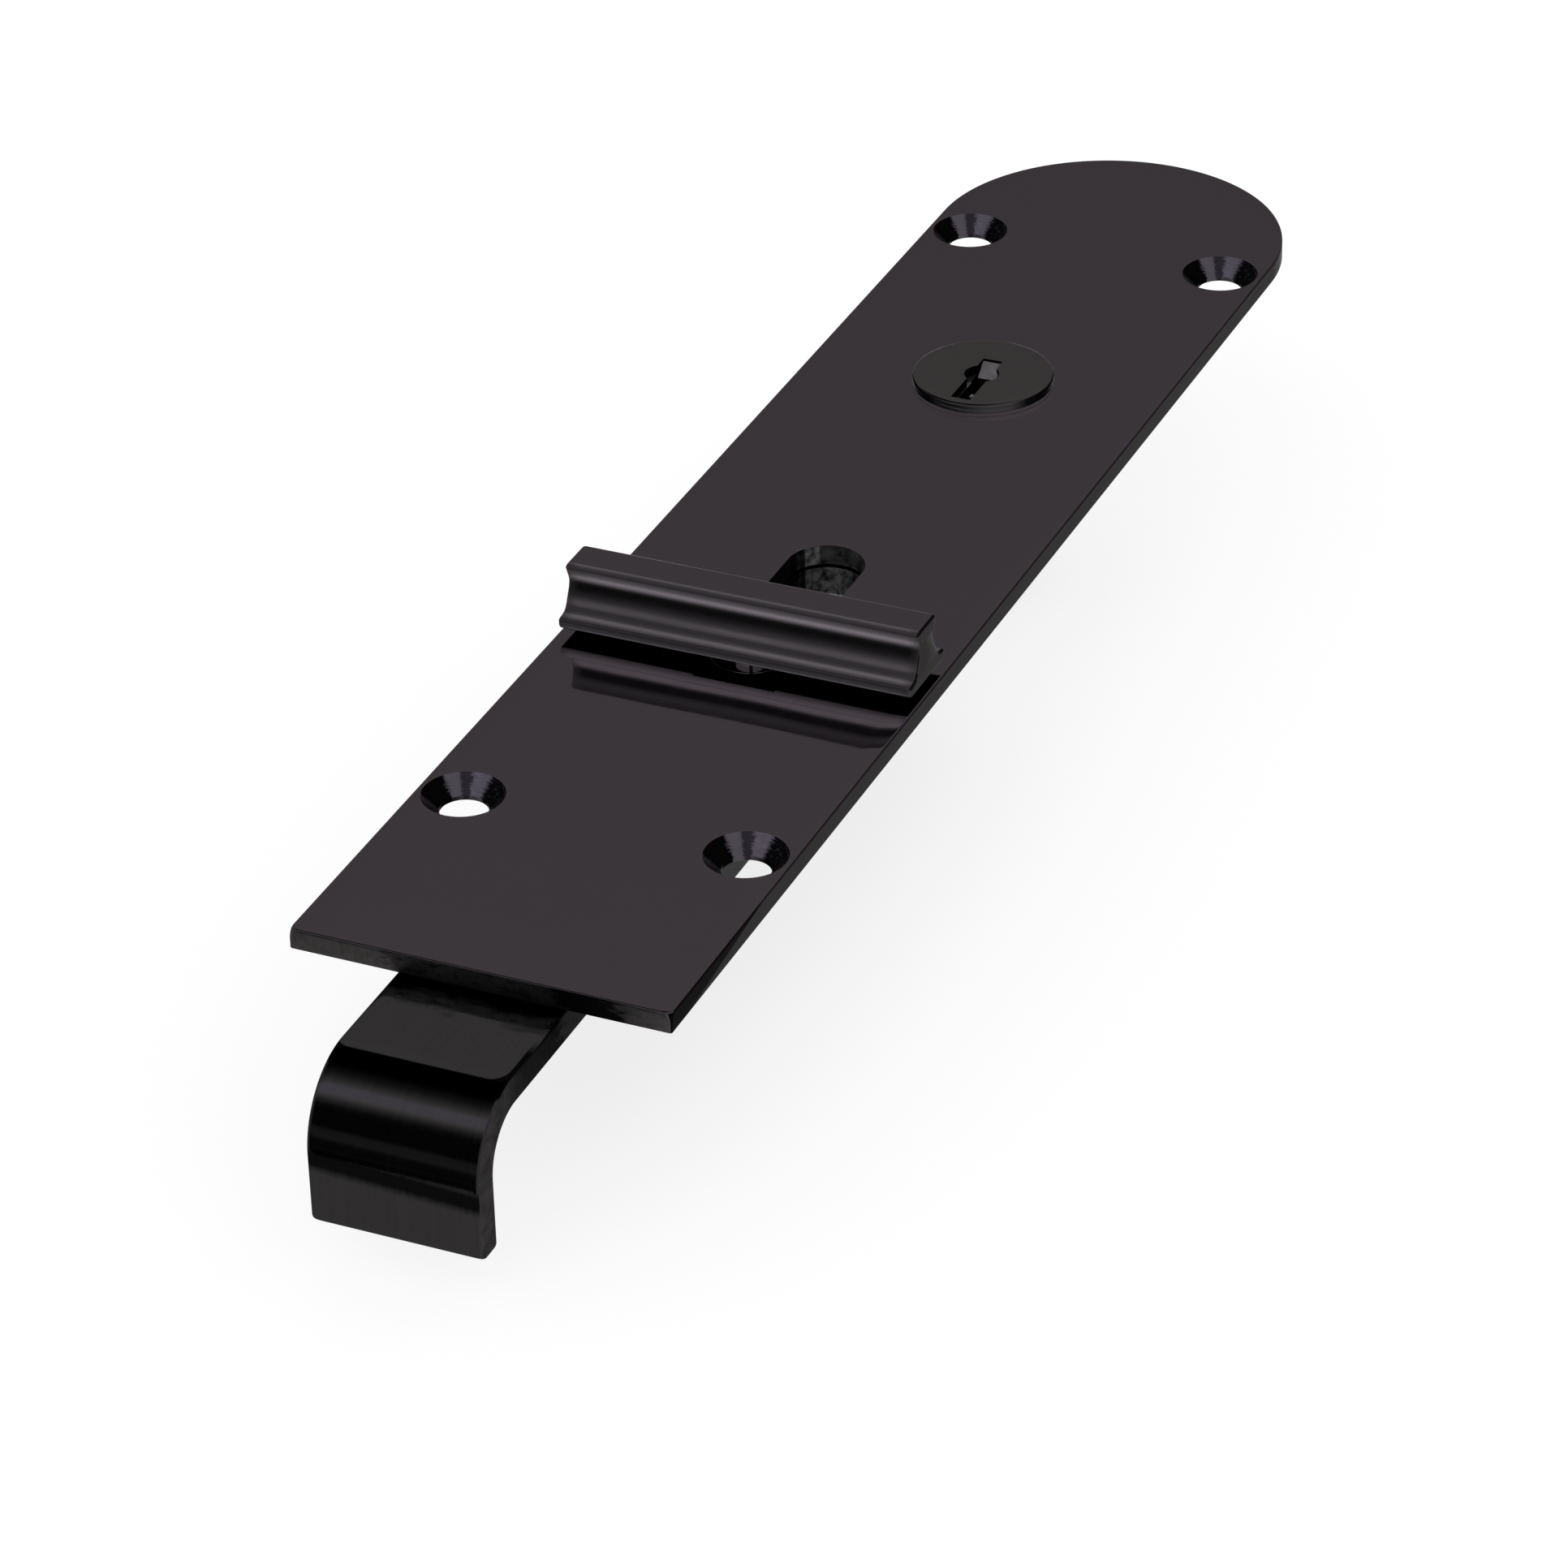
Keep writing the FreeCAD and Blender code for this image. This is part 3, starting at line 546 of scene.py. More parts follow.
def front_painted_shade(tree):
    """The milled front edge with painted shade and light: a streaky painted shade where the bar comes out, a near black
    painted shade beside it, lighter towards the corners.
    """
    x, _, z = place_parts(tree)
    streak_noise = group_node(tree, STREAKS, Scale=(420, 1, 1500)).outputs["Mask"]
    grain = group_node(tree, STREAKS, Scale=(1600, 1, 700)).outputs["Mask"]
    leant = maths(tree, "ADD", x, maths(tree, "MULTIPLY", z, 0.5))
    along = maths(tree, "ADD", leant, between(tree, streak_noise, -0.0012, 0.0012))
    base = ramp(tree, between(tree, along, 0.0, 1.0, -0.025, 0.025), [
        (0.0, 2.0), (0.27, 1.9), (0.285, 1.0), (0.7, 0.9), (0.73, 0.08), (0.86, 0.12), (0.92, 1.3), (1.0, 2.1)])
    bar_shade_mask = maths(tree, "MULTIPLY", between(tree, maths(tree, "ABSOLUTE", x), 1.0, 0.0, 0.0105, 0.012),
                    between(tree, streak_noise, 0.7, 0.0, 0.12, 0.42))
    # Painted shade mixed in where the bar comes out
    worn = mixed(tree, bar_shade_mask, base, mixed(tree, 1.0, base, (0.12, 0.1, 0.1), "MULTIPLY"))
    return mixed(tree, 1.0, worn, between(tree, grain, 0.85, 1.15), "MULTIPLY")


def side_painted_shade(tree):
    """The long edges with painted shade: a thin painted dark line below the face, which widens to a black painted wedge
    at the front right corner.
    """
    x, y, z = place_parts(tree)
    below = maths(tree, "SUBTRACT", PLATE_THICK * MM, z)
    depth = between(tree, y, 3.2 * MM, 0.25 * MM, PLATE_FRONT * MM, (PLATE_FRONT + 26) * MM)
    dark = maths(tree, "MULTIPLY", maths(tree, "GREATER_THAN", x, 0.0),
                 between(tree, maths(tree, "SUBTRACT", depth, below), 0.0, 1.0, -0.0001, 0.0001))
    return ramp(tree, dark, [(0.0, 1.0), (1.0, 0.06)])


def bar_painted_reflections(tree):
    """The bar's face with painted reflections: a black painted shade under the plate, then a mottled painted reflection
    of the plate's front, painted dark round the corners of its flat, and a painted dark band low on the tongue.
    """
    x, y, z = place_parts(tree)
    streak_noise = group_node(tree, STREAKS, Scale=(170, 700, 700)).outputs["Mask"]
    cloud_noise = group_node(tree, MARKS, Pit_Share=0.0, Cloud_Scale=420.0).outputs["Clouds"]
    slip = maths(tree, "ADD", between(tree, streak_noise, -0.0006, 0.0006), between(tree, cloud_noise, -0.0005, 0.0005))
    along = maths(tree, "ADD", y, slip)
    # Painted shade under the plate, then the plate's mottled painted reflection
    shade = ramp(tree, between(tree, along, 0.0, 1.0, (PLATE_FRONT - 8) * MM, (PLATE_FRONT + 2) * MM), [
        (0.0, 1.0), (0.30, 1.0), (0.38, 0.55), (0.5, 0.75), (0.62, 0.3), (0.67, 0.03), (0.9, 0.03), (1.0, 0.2)])
    # Painted dark round the corners of the flat
    corner = vector_maths(tree, "SUBTRACT", add(tree, "ShaderNodeTexCoord").outputs["Object"],
                          (FLAT_CENTRE[0] * MM, FLAT_CENTRE[1] * MM, BAR_TOP * MM))
    inner = vector_maths(tree, "SUBTRACT", vector_maths(tree, "ABSOLUTE", corner),
                         ((FLAT_HALF_X - FLAT_CORNER) * MM, (FLAT_HALF_Y - FLAT_CORNER) * MM, 1.0))
    gap = add(tree, "ShaderNodeVectorMath", operation="LENGTH")
    join(tree, vector_maths(tree, "MAXIMUM", inner), gap.inputs[0])
    outside = between(tree, gap.outputs["Value"], 0.0, 1.0, (FLAT_CORNER - 0.1) * MM, (FLAT_CORNER + 0.1) * MM)
    high = between(tree, z, 0.0, 1.0, (BAR_TOP - 1.1) * MM, (BAR_TOP - 0.9) * MM)
    low_end = between(tree, y, 1.0, 0.0, (PLATE_FRONT - 9) * MM, (PLATE_FRONT - 6) * MM)
    dark = maths(tree, "MULTIPLY", maths(tree, "MULTIPLY", outside, high), low_end)
    ragged = group_node(tree, STREAKS, Scale=(2600, 40, 40)).outputs["Mask"]
    leant = maths(tree, "ADD", z, maths(tree, "MULTIPLY", x, FOOT_LEAN))
    drop = maths(tree, "ADD", leant, between(tree, ragged, -0.0001, 0.0001))
    # The painted dark band low on the tongue
    foot = ramp(tree, between(tree, drop, 0.0, 1.0, (TONGUE_TIP + 6.0) * MM, (TONGUE_TIP + 10.6) * MM), [
        (0.0, 1.0), (0.2, 1.0), (0.45, 0.12), (0.8, 0.12), (1.0, 0.8)])
    return mixed(tree, 1.0, mixed(tree, dark, shade, (0.06, 0.05, 0.05)), foot, "MULTIPLY")


def bar_side_painted_shade(tree):
    """The bar's cut sides: a black painted shade below the plate, then brushed grey."""
    _, y, _ = place_parts(tree)
    streak_noise = group_node(tree, STREAKS, Scale=(10, 500, 900)).outputs["Mask"]
    edge = maths(tree, "ADD", y, between(tree, streak_noise, -0.0015, 0.0015))
    shade = ramp(tree, between(tree, edge, 0.0, 1.0, TONGUE_FRONT * MM, PLATE_FRONT * MM), [
        (0.0, 1.1), (0.3, 0.95), (0.48, 0.3), (0.9, 0.08), (1.0, 0.5)])
    return mixed(tree, 1.0, shade, between(tree, streak_noise, 0.7, 1.15), "MULTIPLY")


def grip_bands(stops):
    """Painted reflections: light and dark bands along the grip, from (height, brightness) stops, capped lower along the
    rear crown and fading to a plain painted grey towards its ends.
    """
    def pattern(tree):
        x, y, z = place_parts(tree)
        height = between(tree, z, 0.0, 1.0, GRIP_BOTTOM * MM, (GRIP_BOTTOM + GRIP_HEIGHT) * MM)
        behind = maths(tree, "MULTIPLY", maths(tree, "GREATER_THAN", y, GRIP_Y * MM), REAR_CROWN)
        height = maths(tree, "MINIMUM", height, maths(tree, "SUBTRACT", 1.0, behind))
        shade = ramp(tree, height, [(up / GRIP_HEIGHT, value) for up, value in stops])
        fade, end = (GRIP_HALF - GRIP_FADE) * MM, (GRIP_HALF - 0.4) * MM
        ends = between(tree, maths(tree, "ABSOLUTE", x), 0.0, FADE_SHARE, fade, end)
        return mixed(tree, ends, shade, (FADE_SHADE,) * 3)
    return pattern


# The painted lighter tint in which mirrors see the dark plating
LIT = (0.92, 0.92, 0.95)
# Painted reflection bands on the grip, as (height in millimetres, brightness)
GRIP_BANDS = [(0.0, 0.05), (0.3, 0.05), (0.36, 1.3), (0.5, 1.0), (0.6, 0.75), (0.95, 0.7), (1.34, 0.35), (1.5, 0.45),
              (1.58, 1.0), (1.68, 1.7), (1.78, 0.8), (2.0, 0.36), (2.3, 0.5), (2.5, 1.1), (2.75, 1.45), (2.98, 1.3),
              (3.3, 0.75), (3.65, 0.42), (4.0, 0.24), (4.4, 0.12), (4.8, 0.08), (5.25, 0.14), (5.6, 0.6),
              (5.95, 1.5), (6.35, 1.9), (6.6, 1.2), (6.92, 0.79), (7.4, 0.5), (7.65, 0.45), (7.85, 0.55),
              (7.93, 1.2), (8.0, 1.25)]
# The grip's painted reflection bands as the plate's mirror sees them, from below
GRIP_SEEN = [(0.0, 0.05), (0.04, 0.9), (0.1, 0.33), (0.35, 0.55), (0.75, 0.95), (1.2, 1.2), (3.0, 0.6), (3.15, 0.9),
             (3.7, 1.6), (4.3, 1.2), (4.75, 0.3), (5.1, 0.08), (5.9, 0.08), (6.2, 0.28), (6.6, 0.4), (7.2, 0.3),
             (7.8, 0.15), (8.0, 0.3)]
# Painted reflection bands around the axes of the cones, slot, bar hole, lock rim and grip post, as (degrees,
# brightness); the cones' streak stops add painted light on ring marks
CONE_BANDS = [(0, 0.05), (20, 0.03), (70, 0.03), (77, 1.0), (101, 1.0), (105, 0.28), (119, 0.28), (123, 1.0),
              (141, 1.0), (147, 0.02), (198, 0.02), (206, 0.35), (216, 0.3), (226, 0.08), (240, 0.2), (360, 0.05)]
CONE_STREAKS = [(0, 0.4), (40, 0.3), (70, 0.15), (78, 0.0), (198, 0.0), (215, 0.3), (360, 0.4)]
SLOT_BANDS = [(0, 0.1), (22, 0.3), (60, 0.7), (100, 0.6), (121, 0.5), (125, 1.9), (142, 1.9), (146, 0.35),
              (160, 0.06), (185, 0.06), (230, 0.04), (310, 0.04), (360, 0.15)]
HOLE_BANDS = [(0, 0.03), (50, 0.05), (70, 0.7), (100, 0.9), (125, 0.9), (140, 0.8), (150, 0.1), (165, 0.02),
              (360, 0.03)]
RIM_BANDS = [(0, 0.06), (20, 0.08), (60, 0.12), (120, 0.12), (180, 0.08), (205, 0.03), (245, 0.04), (268, 0.6),
             (316, 0.7), (330, 0.06), (345, 0.03), (360, 0.06)]
POST_BANDS = [(0, 0.2), (205, 0.1), (222, 1.0), (283, 1.0), (291, 0.08), (298, 0.08), (304, 0.9), (330, 0.9),
              (342, 0.2)]


def materials():
    """Every finish, by the name that the pieces ask for."""
    grey = (0.040, 0.0375, 0.0370)
    return {
        # Where lit is given, mirrors see a painted lighter copy of the plating
        "plate": metal("plate_chrome", (0.0480, 0.0405, 0.0462), 0.03, (300, 40, 300), 0.0002, cloud=0.008, lit=LIT,
                       roll=plate_roll),
        # The milled front and sides carry painted shade
        "plate_front": metal("milled_front", grey, 0.36, (500, 900, 1800), 0.003, 0.1, 0.02, 0.1, lit=LIT,
                             pattern=front_painted_shade),
        "plate_side": metal("milled_side", grey, 0.32, (900, 60, 1800), 0.002, 0.1, 0.0, 0.05, lit=LIT,
                            pattern=side_painted_shade),
        # Cone, slot and hole walls carry painted reflection bands
        "cone": metal("turned_cone", (0.088, 0.078, 0.096), 0.3, (900, 900, 4000), 0.002, 0.1, lit=LIT,
                      pattern=turned_bands((SCREW_X, SCREW_Y), CONE_BANDS, 0.012, CONE_STREAKS)),
        "slot": metal("slot_wall", (0.10, 0.097, 0.098), 0.45, (1500, 1500, 900), 0.006, 0.15, 0.1, 0.95, 900.0,
                      lit=(0.6, 0.6, 0.6), pattern=turned_bands((0, -SLOT_FAR_Y), SLOT_BANDS, 0.03), seen_plain=True),
        "hole": metal("hole_wall", (0.14, 0.137, 0.134), 0.45, (1500, 1500, 900), 0.006, 0.15, 0.14, 0.98, 900.0,
                      lit=(0.6, 0.6, 0.6), pattern=turned_bands((0, -SLOT_FAR_Y), HOLE_BANDS, 0.04), seen_plain=True),
        # The bar carries painted reflections and painted shade
        "tongue": metal("bar_chrome", (0.0400, 0.0375, 0.0382), 0.045, (2600, 60, 60), 0.0016, 0.08, 0.02, 0.03,
                        lit=LIT, pattern=bar_painted_reflections, streak_shade=0.05),
        "tongue_side": metal("bar_side", grey, 0.35, (700, 900, 900), 0.01, 0.15, 0.12, 0.25, 350.0, lit=LIT,
                             pattern=bar_side_painted_shade),
        # The grip carries painted reflection bands, other painted bands for mirrors and a painted glow
        "grip": metal("grip_chrome", (0.120, 0.108, 0.117), 0.5, (60, 2500, 2500), 0.0006, 0.06, cloud=0.02, lit=LIT,
                      pattern=grip_bands(GRIP_BANDS), streak_shade=0.06, seen_pattern=grip_bands(GRIP_SEEN),
                      seen_glow=0.7),
        "grip_top": metal("grip_top", (0.0480, 0.0405, 0.0462), 0.04, (150, 900, 900), 0.0003, cloud=0.01, lit=LIT),
        "grip_end": metal("grip_end", grey, 0.25, (60, 900, 900), 0.001, cloud=0.03, lit=LIT),
        # A near-black copy of the chrome, used as painted shade
        "gap": metal("painted_shade_chrome", (0.006, 0.005, 0.005), 0.4, (300, 900, 900), 0.001, cloud=0.1),
        # The post and the lock rim carry painted reflection bands and a painted glow
        "post": metal("post_chrome", (0.075, 0.072, 0.074), 0.3, (900, 900, 900), 0.001, cloud=0.1, lit=(1.0, 1.0, 1.0),
                      pattern=turned_bands((0, -GRIP_Y), POST_BANDS), seen_glow=0.7),
        "lock": metal("lock_chrome", (0.0440, 0.0400, 0.0402), 0.06, (900, 900, 900), 0.0003, cloud=0.01, lit=LIT),
        "rim": metal("lock_rim", (0.07, 0.066, 0.068), 0.3, (90, 90, 900), 0.0004, cloud=0.01, lit=(1.0, 1.0, 1.0),
                     pattern=turned_bands((0, LOCK_Y), RIM_BANDS, 0.004), seen_rough=0.6, seen_plain=True,
                     seen_glow=0.4),
        # Painted shade in the keyway and painted light on its ledge
        "keyway": metal("keyway_painted_shade", (0.010, 0.008, 0.008), 0.35, (900, 900, 900), 0.002, 0.1, cloud=0.3),
        "ledge": metal("keyway_ledge_painted_light", (0.12, 0.118, 0.116), 0.3, (2500, 900, 900), 0.002, 0.1, cloud=0.3,
                       cloud_scale=900.0),
        "flap": metal("flap_steel", (0.12, 0.114, 0.122), 0.32, (2500, 900, 900), 0.002, 0.12, cloud=0.15,
                      cloud_scale=700.0),
        "case": coated("case_enamel", (0.013, 0.0125, 0.012), (0.017, 0.0165, 0.016), 0.5, 90.0, 0.002, 0.15),
        "zinc": metal("zinc_steel", (0.55, 0.56, 0.58), 0.22, (120, 2200, 900), 0.002, 0.12, cloud=0.12, edge=1.0),
        "spring": metal("spring_steel", (0.30, 0.33, 0.40), 0.18, (2200, 100, 900), 0.002, 0.1, cloud=0.1, edge=1.0),
        "nylon": coated("rail_nylon", (0.60, 0.58, 0.52), (0.74, 0.72, 0.66), 0.4, 150.0, 0.001),
    }


SOFT_EDGE = [(0, 0.5), (0.04, 0.32), (0.12, 0.19), (0.25, 0.1), (0.45, 0.045), (0.75, 0.016), (1.1, 0.004), (1.6, 0)]
PLATE_EDGE = [(0.12, 2.8), (0.04, 2.76), (0, 2.68), (0, 1.5), (0, 1.2), (0, 0.9), (0, 0.6), (0, 0.35), (0.02, 0.2),
              (0.08, 0.08), (0.18, 0.025), (0.32, 0)]
GRIP_EDGE = [(0, 0.35), (0.05, 0.22), (0.14, 0.11), (0.28, 0.04), (0.5, 0)]
SLOT_ROLL = [(0.52, 0), (0.4, 0.0015), (0.3, 0.005), (0.2, 0.011), (0.12, 0.019), (0.06, 0.03), (0.024, 0.043),
             (0, 0.066)]


def plate_outline(inset, z):
    """The plate's outline moved inwards. The front corners are worn rounder towards the face."""
    r = PLATE_CORNER + CORNER_WEAR * max(0.0, (z - 1.3) / (PLATE_THICK - 1.3)) ** 2
    half, front = PLATE_HALF - inset, PLATE_FRONT + inset
    corners = arc(-half + r, front + r, r, 180, 270, 6) + arc(half - r, front + r, r, 270, 360, 6)
    return corners + arc(0, ROUND_CENTRE, half, 0, 180, 120)


def countersink(bm, x, y):
    """The cone and bore of a screw hole. Returns its top and bottom rings."""
    top, cone_r = PLATE_THICK, COUNTERSINK_R
    hole_r, cone_end = SCREW_HOLE_R, top - CONE_DEPTH
    profile = [(cone_r + 0.14, top), (cone_r + 0.04, top - 0.02), (cone_r - 0.04, top - 0.1),
               (hole_r + 0.05, cone_end + 0.06), (hole_r, cone_end), (hole_r, 0.06), (hole_r + 0.06, 0)]
    rings = lathe(bm, profile, x, y, 72)
    return rings[0], rings[-1]


def slot_rim(bm):
    """The slot's wall, its upper edge slightly rolled off. Returns its top and bottom rings."""
    outline = arc(0, GRIP_Y, SLOT_R, 180, 360, 64) + arc(0, SLOT_FAR_Y, SLOT_R, 0, 180, 64)
    rings = stack(bm, outline, [(-run, PLATE_THICK - drop) for run, drop in SLOT_ROLL] + [(0, 0)])
    return rings[0], rings[-1]


def double_d(radius, flat):
    """A circle with two flats, around the lock's centre."""
    a = math.degrees(math.acos(flat / radius))
    return arc(0, LOCK_Y, radius, a, 180 - a, 40) + arc(0, LOCK_Y, radius, 180 + a, 360 - a, 40)


def in_slot(c, n):
    """On the slot's upright wall."""
    return abs(c.x) < SLOT_R + 0.1 and GRIP_Y - SLOT_R - 0.1 < c.y < SLOT_FAR_Y + SLOT_R + 0.1 and abs(n.z) < 0.7


def near_screw(c, n):
    """On the cone or bore of a screw hole."""
    return math.hypot(abs(c.x) - SCREW_X, abs(c.y) - SCREW_Y) < COUNTERSINK_R and n.z < 0.95


def face_plate(mats):
    """The long plate with softened rim, countersinks, slot and lock hole."""
    bm = bmesh.new()
    levels = [(inset, PLATE_THICK - drop) for inset, drop in PLATE_EDGE]
    outer = skin_all(bm, [ring(bm, [(x, y, z) for x, y in plate_outline(inset, z)]) for inset, z in levels])
    holes = [countersink(bm, x, y) for x in (-SCREW_X, SCREW_X) for y in (-SCREW_Y, SCREW_Y)]
    holes.append(slot_rim(bm))
    lock_rings = stack(bm, anticlockwise(double_d(BARREL_R + 0.1, BARREL_FLAT + 0.1)), [(0, PLATE_THICK), (0, 0)])
    holes.append((lock_rings[0], lock_rings[-1]))
    cap(bm, [outer[-1]] + [top for top, _ in holes])
    cap(bm, [outer[0]] + [bottom for _, bottom in holes])
    plate = piece(finished(bm, "plate_polished"), "base", "black_chrome", mats["plate"], "face_plate")
    # The slot wall and cones take painted reflection bands, the milled front and sides painted shade
    return paint(plate, (mats["slot"], in_slot), (mats["cone"], near_screw),
                 (mats["plate_front"], lambda c, n: n.y < -0.8 and c.y < PLATE_FRONT + 0.3),
                 (mats["plate_side"], lambda c, n: abs(n.z) < 0.6 and max(abs(c.x), c.y - LOCK_Y) > PLATE_HALF - 1))


def bolt_bar(mats):
    """The flat bar and its bent tongue, with a round-ended hole below the slot."""
    corners = [(BAR_END, BAR_TOP, 0.6), (TONGUE_FRONT, BAR_TOP, TONGUE_BEND + BAR_THICK),
               (TONGUE_FRONT, TONGUE_TIP, 1.3), (TONGUE_FRONT + BAR_THICK, TONGUE_TIP, 0.8),
               (TONGUE_FRONT + BAR_THICK, BAR_BOTTOM, TONGUE_BEND), (BAR_END, BAR_BOTTOM, 0.6)]
    bm = bmesh.new()
    sweep_x(bm, anticlockwise(rounded(corners, 1.5)), BAR_HALF, SOFT_EDGE)
    bar = piece(finished(bm, "bar_and_tongue"), "bolt", "black_chrome", mats["tongue"], "bolt_bar")
    holes = [circle(0, SLOT_FAR_Y, SLOT_R, 96), circle(0, GRIP_Y, STEM_HOLE_R, 48)]
    cut(bar, [prism(hole, BAR_BOTTOM - 1, BAR_TOP + 1) for hole in holes])
    # The hole wall takes painted reflection bands, the cut sides painted shade
    return paint(bar, (mats["hole"], lambda c, n: abs(c.x) < SLOT_R + 0.1 and c.y > GRIP_Y - 3 and abs(n.z) < 0.5),
                 (mats["tongue_side"], lambda c, n: abs(n.x) > 0.8 and abs(c.x) > BAR_HALF - 0.2))


def grip_outline():
    """The grip's waisted section as (y, z) points."""
    z, top = GRIP_BOTTOM, GRIP_BOTTOM + GRIP_HEIGHT
    flank = [(2.95, 7.5), (2.76, 7.0), (2.47, 6.3), (2.22, 5.7), (2.13, 5.2), (2.25, 4.55), (2.52, 3.95), (2.8, 3.4),
             (3.05, 2.9), (3.32, 2.36), (3.68, 1.94), (4.2, 1.72), (4.8, 1.63), (5.25, 1.54)]
    flank = [(y, z + h) for y, h in smooth_curve(flank, 6)]
    crown = [(2.1, top), (2.35, top - 0.03), (2.6, top - 0.1), (2.8, top - 0.25), (2.92, top - 0.42)]
    lip = [(5.45, 1.46), (5.58, 1.32), (5.63, 1.15), (5.62, 0.62), (5.56, 0.34), (5.44, 0.16), (5.25, 0.04), (5.1, 0)]
    right = crown + flank + [(y, z + h) for y, h in lip]
    left = [(-y, h) for y, h in reversed(right)]
    return anticlockwise([(GRIP_Y + y, h) for y, h in right + left])


def grip(mats):
    """The waisted cross bar, with a shallow recess below its middle."""
    bm = bmesh.new()
    sweep_x(bm, grip_outline(), GRIP_HALF, GRIP_EDGE)
    bar = piece(finished(bm, "grip_polished", 24.0), "bolt", "black_chrome", mats["grip"], "grip")
    recess = box_outline(-RECESS_HALF, RECESS_HALF, GRIP_Y - 8, GRIP_Y + 8)
    stem_hole = circle(0, GRIP_Y, STEM_HOLE_R, 48)
    cut(bar, [prism(recess, GRIP_BOTTOM - 1, GRIP_BOTTOM + RECESS_DEPTH),
              prism(stem_hole, GRIP_BOTTOM - 1, GRIP_BOTTOM + STEM_REACH + 0.1)], 24.0)
    # Painted shade: the underside and the upward faces at the right end take the near-black chrome
    return paint(bar, (mats["gap"], lambda c, n: n.z < -0.6 and c.z < GRIP_BOTTOM + 1),
                 (mats["gap"], lambda c, n: n.x > 0.2 and n.z > 0.3),
                 (mats["grip_end"], lambda c, n: abs(n.x) > 0.5),
                 (mats["grip_top"], lambda c, n: n.z > (0.9 if c.y > GRIP_Y else 0.9995) and c.z > GRIP_BOTTOM + 7))


def grip_post(mats):
    """The stepped stud under the grip, its collar grooved and its lower end threaded."""
    bm = bmesh.new()
    end, collar_top = BAR_BOTTOM - 2.6, GRIP_BOTTOM + RECESS_DEPTH
    profile = [(STEM_R - 0.3, end)]
    steps = 9
    for k in range(steps):
        z = end + 0.25 + 0.5 * k
        profile += [(STEM_R - 0.02, z), (STEM_R - 0.3, z + 0.25)]
    profile += [(STEM_R, BAR_TOP), (STEM_R, BUSH_TOP), (POST_R - 0.35, BUSH_TOP + 0.02), (POST_R - 0.3, BUSH_TOP + 0.7),
                (POST_R - 0.02, BUSH_TOP + 0.85), (POST_R, collar_top - 0.1), (POST_R - 0.1, collar_top),
                (STEM_R, collar_top), (STEM_R, GRIP_BOTTOM + STEM_REACH)]
    lathe(bm, profile, 0, GRIP_Y, 48, solid=True)
    return piece(finished(bm, "post_turned"), "bolt", "black_chrome", mats["post"], "grip_post")


def slot_bush(mats):
    """The round block that fills the slot under the grip."""
    bm = bmesh.new()
    profile = [(STEM_HOLE_R, BAR_TOP), (BUSH_R, BAR_TOP), (BUSH_R, BUSH_TOP - 0.3), (BUSH_R - 0.1, BUSH_TOP - 0.1),
               (BUSH_R - 0.3, BUSH_TOP), (STEM_HOLE_R, BUSH_TOP)]
    lathe(bm, profile, 0, GRIP_Y, 72, closed=True)
    # The bush takes the near-black chrome as painted shade, its top the grip's top finish
    bush = piece(finished(bm, "bush_turned"), "bolt", "black_chrome", mats["gap"], "slot_bush")
    return paint(bush, (mats["grip_top"], lambda c, n: n.z > 0.9))


def keyway_outline(bottom):
    """A tall slot with a round widening, around the lock's centre."""
    half = KEYWAY_HALF
    a = math.degrees(math.acos(half / KEY_EYE_R))
    points = [(half, bottom)] + arc(0, KEY_EYE_Y, KEY_EYE_R, -a, a, 20) + [(half, KEYWAY_HIGH), (-half, KEYWAY_HIGH)]
    points += arc(0, KEY_EYE_Y, KEY_EYE_R, 180 - a, 180 + a, 20) + [(-half, bottom)]
    return [(x, LOCK_Y + y) for x, y in points]


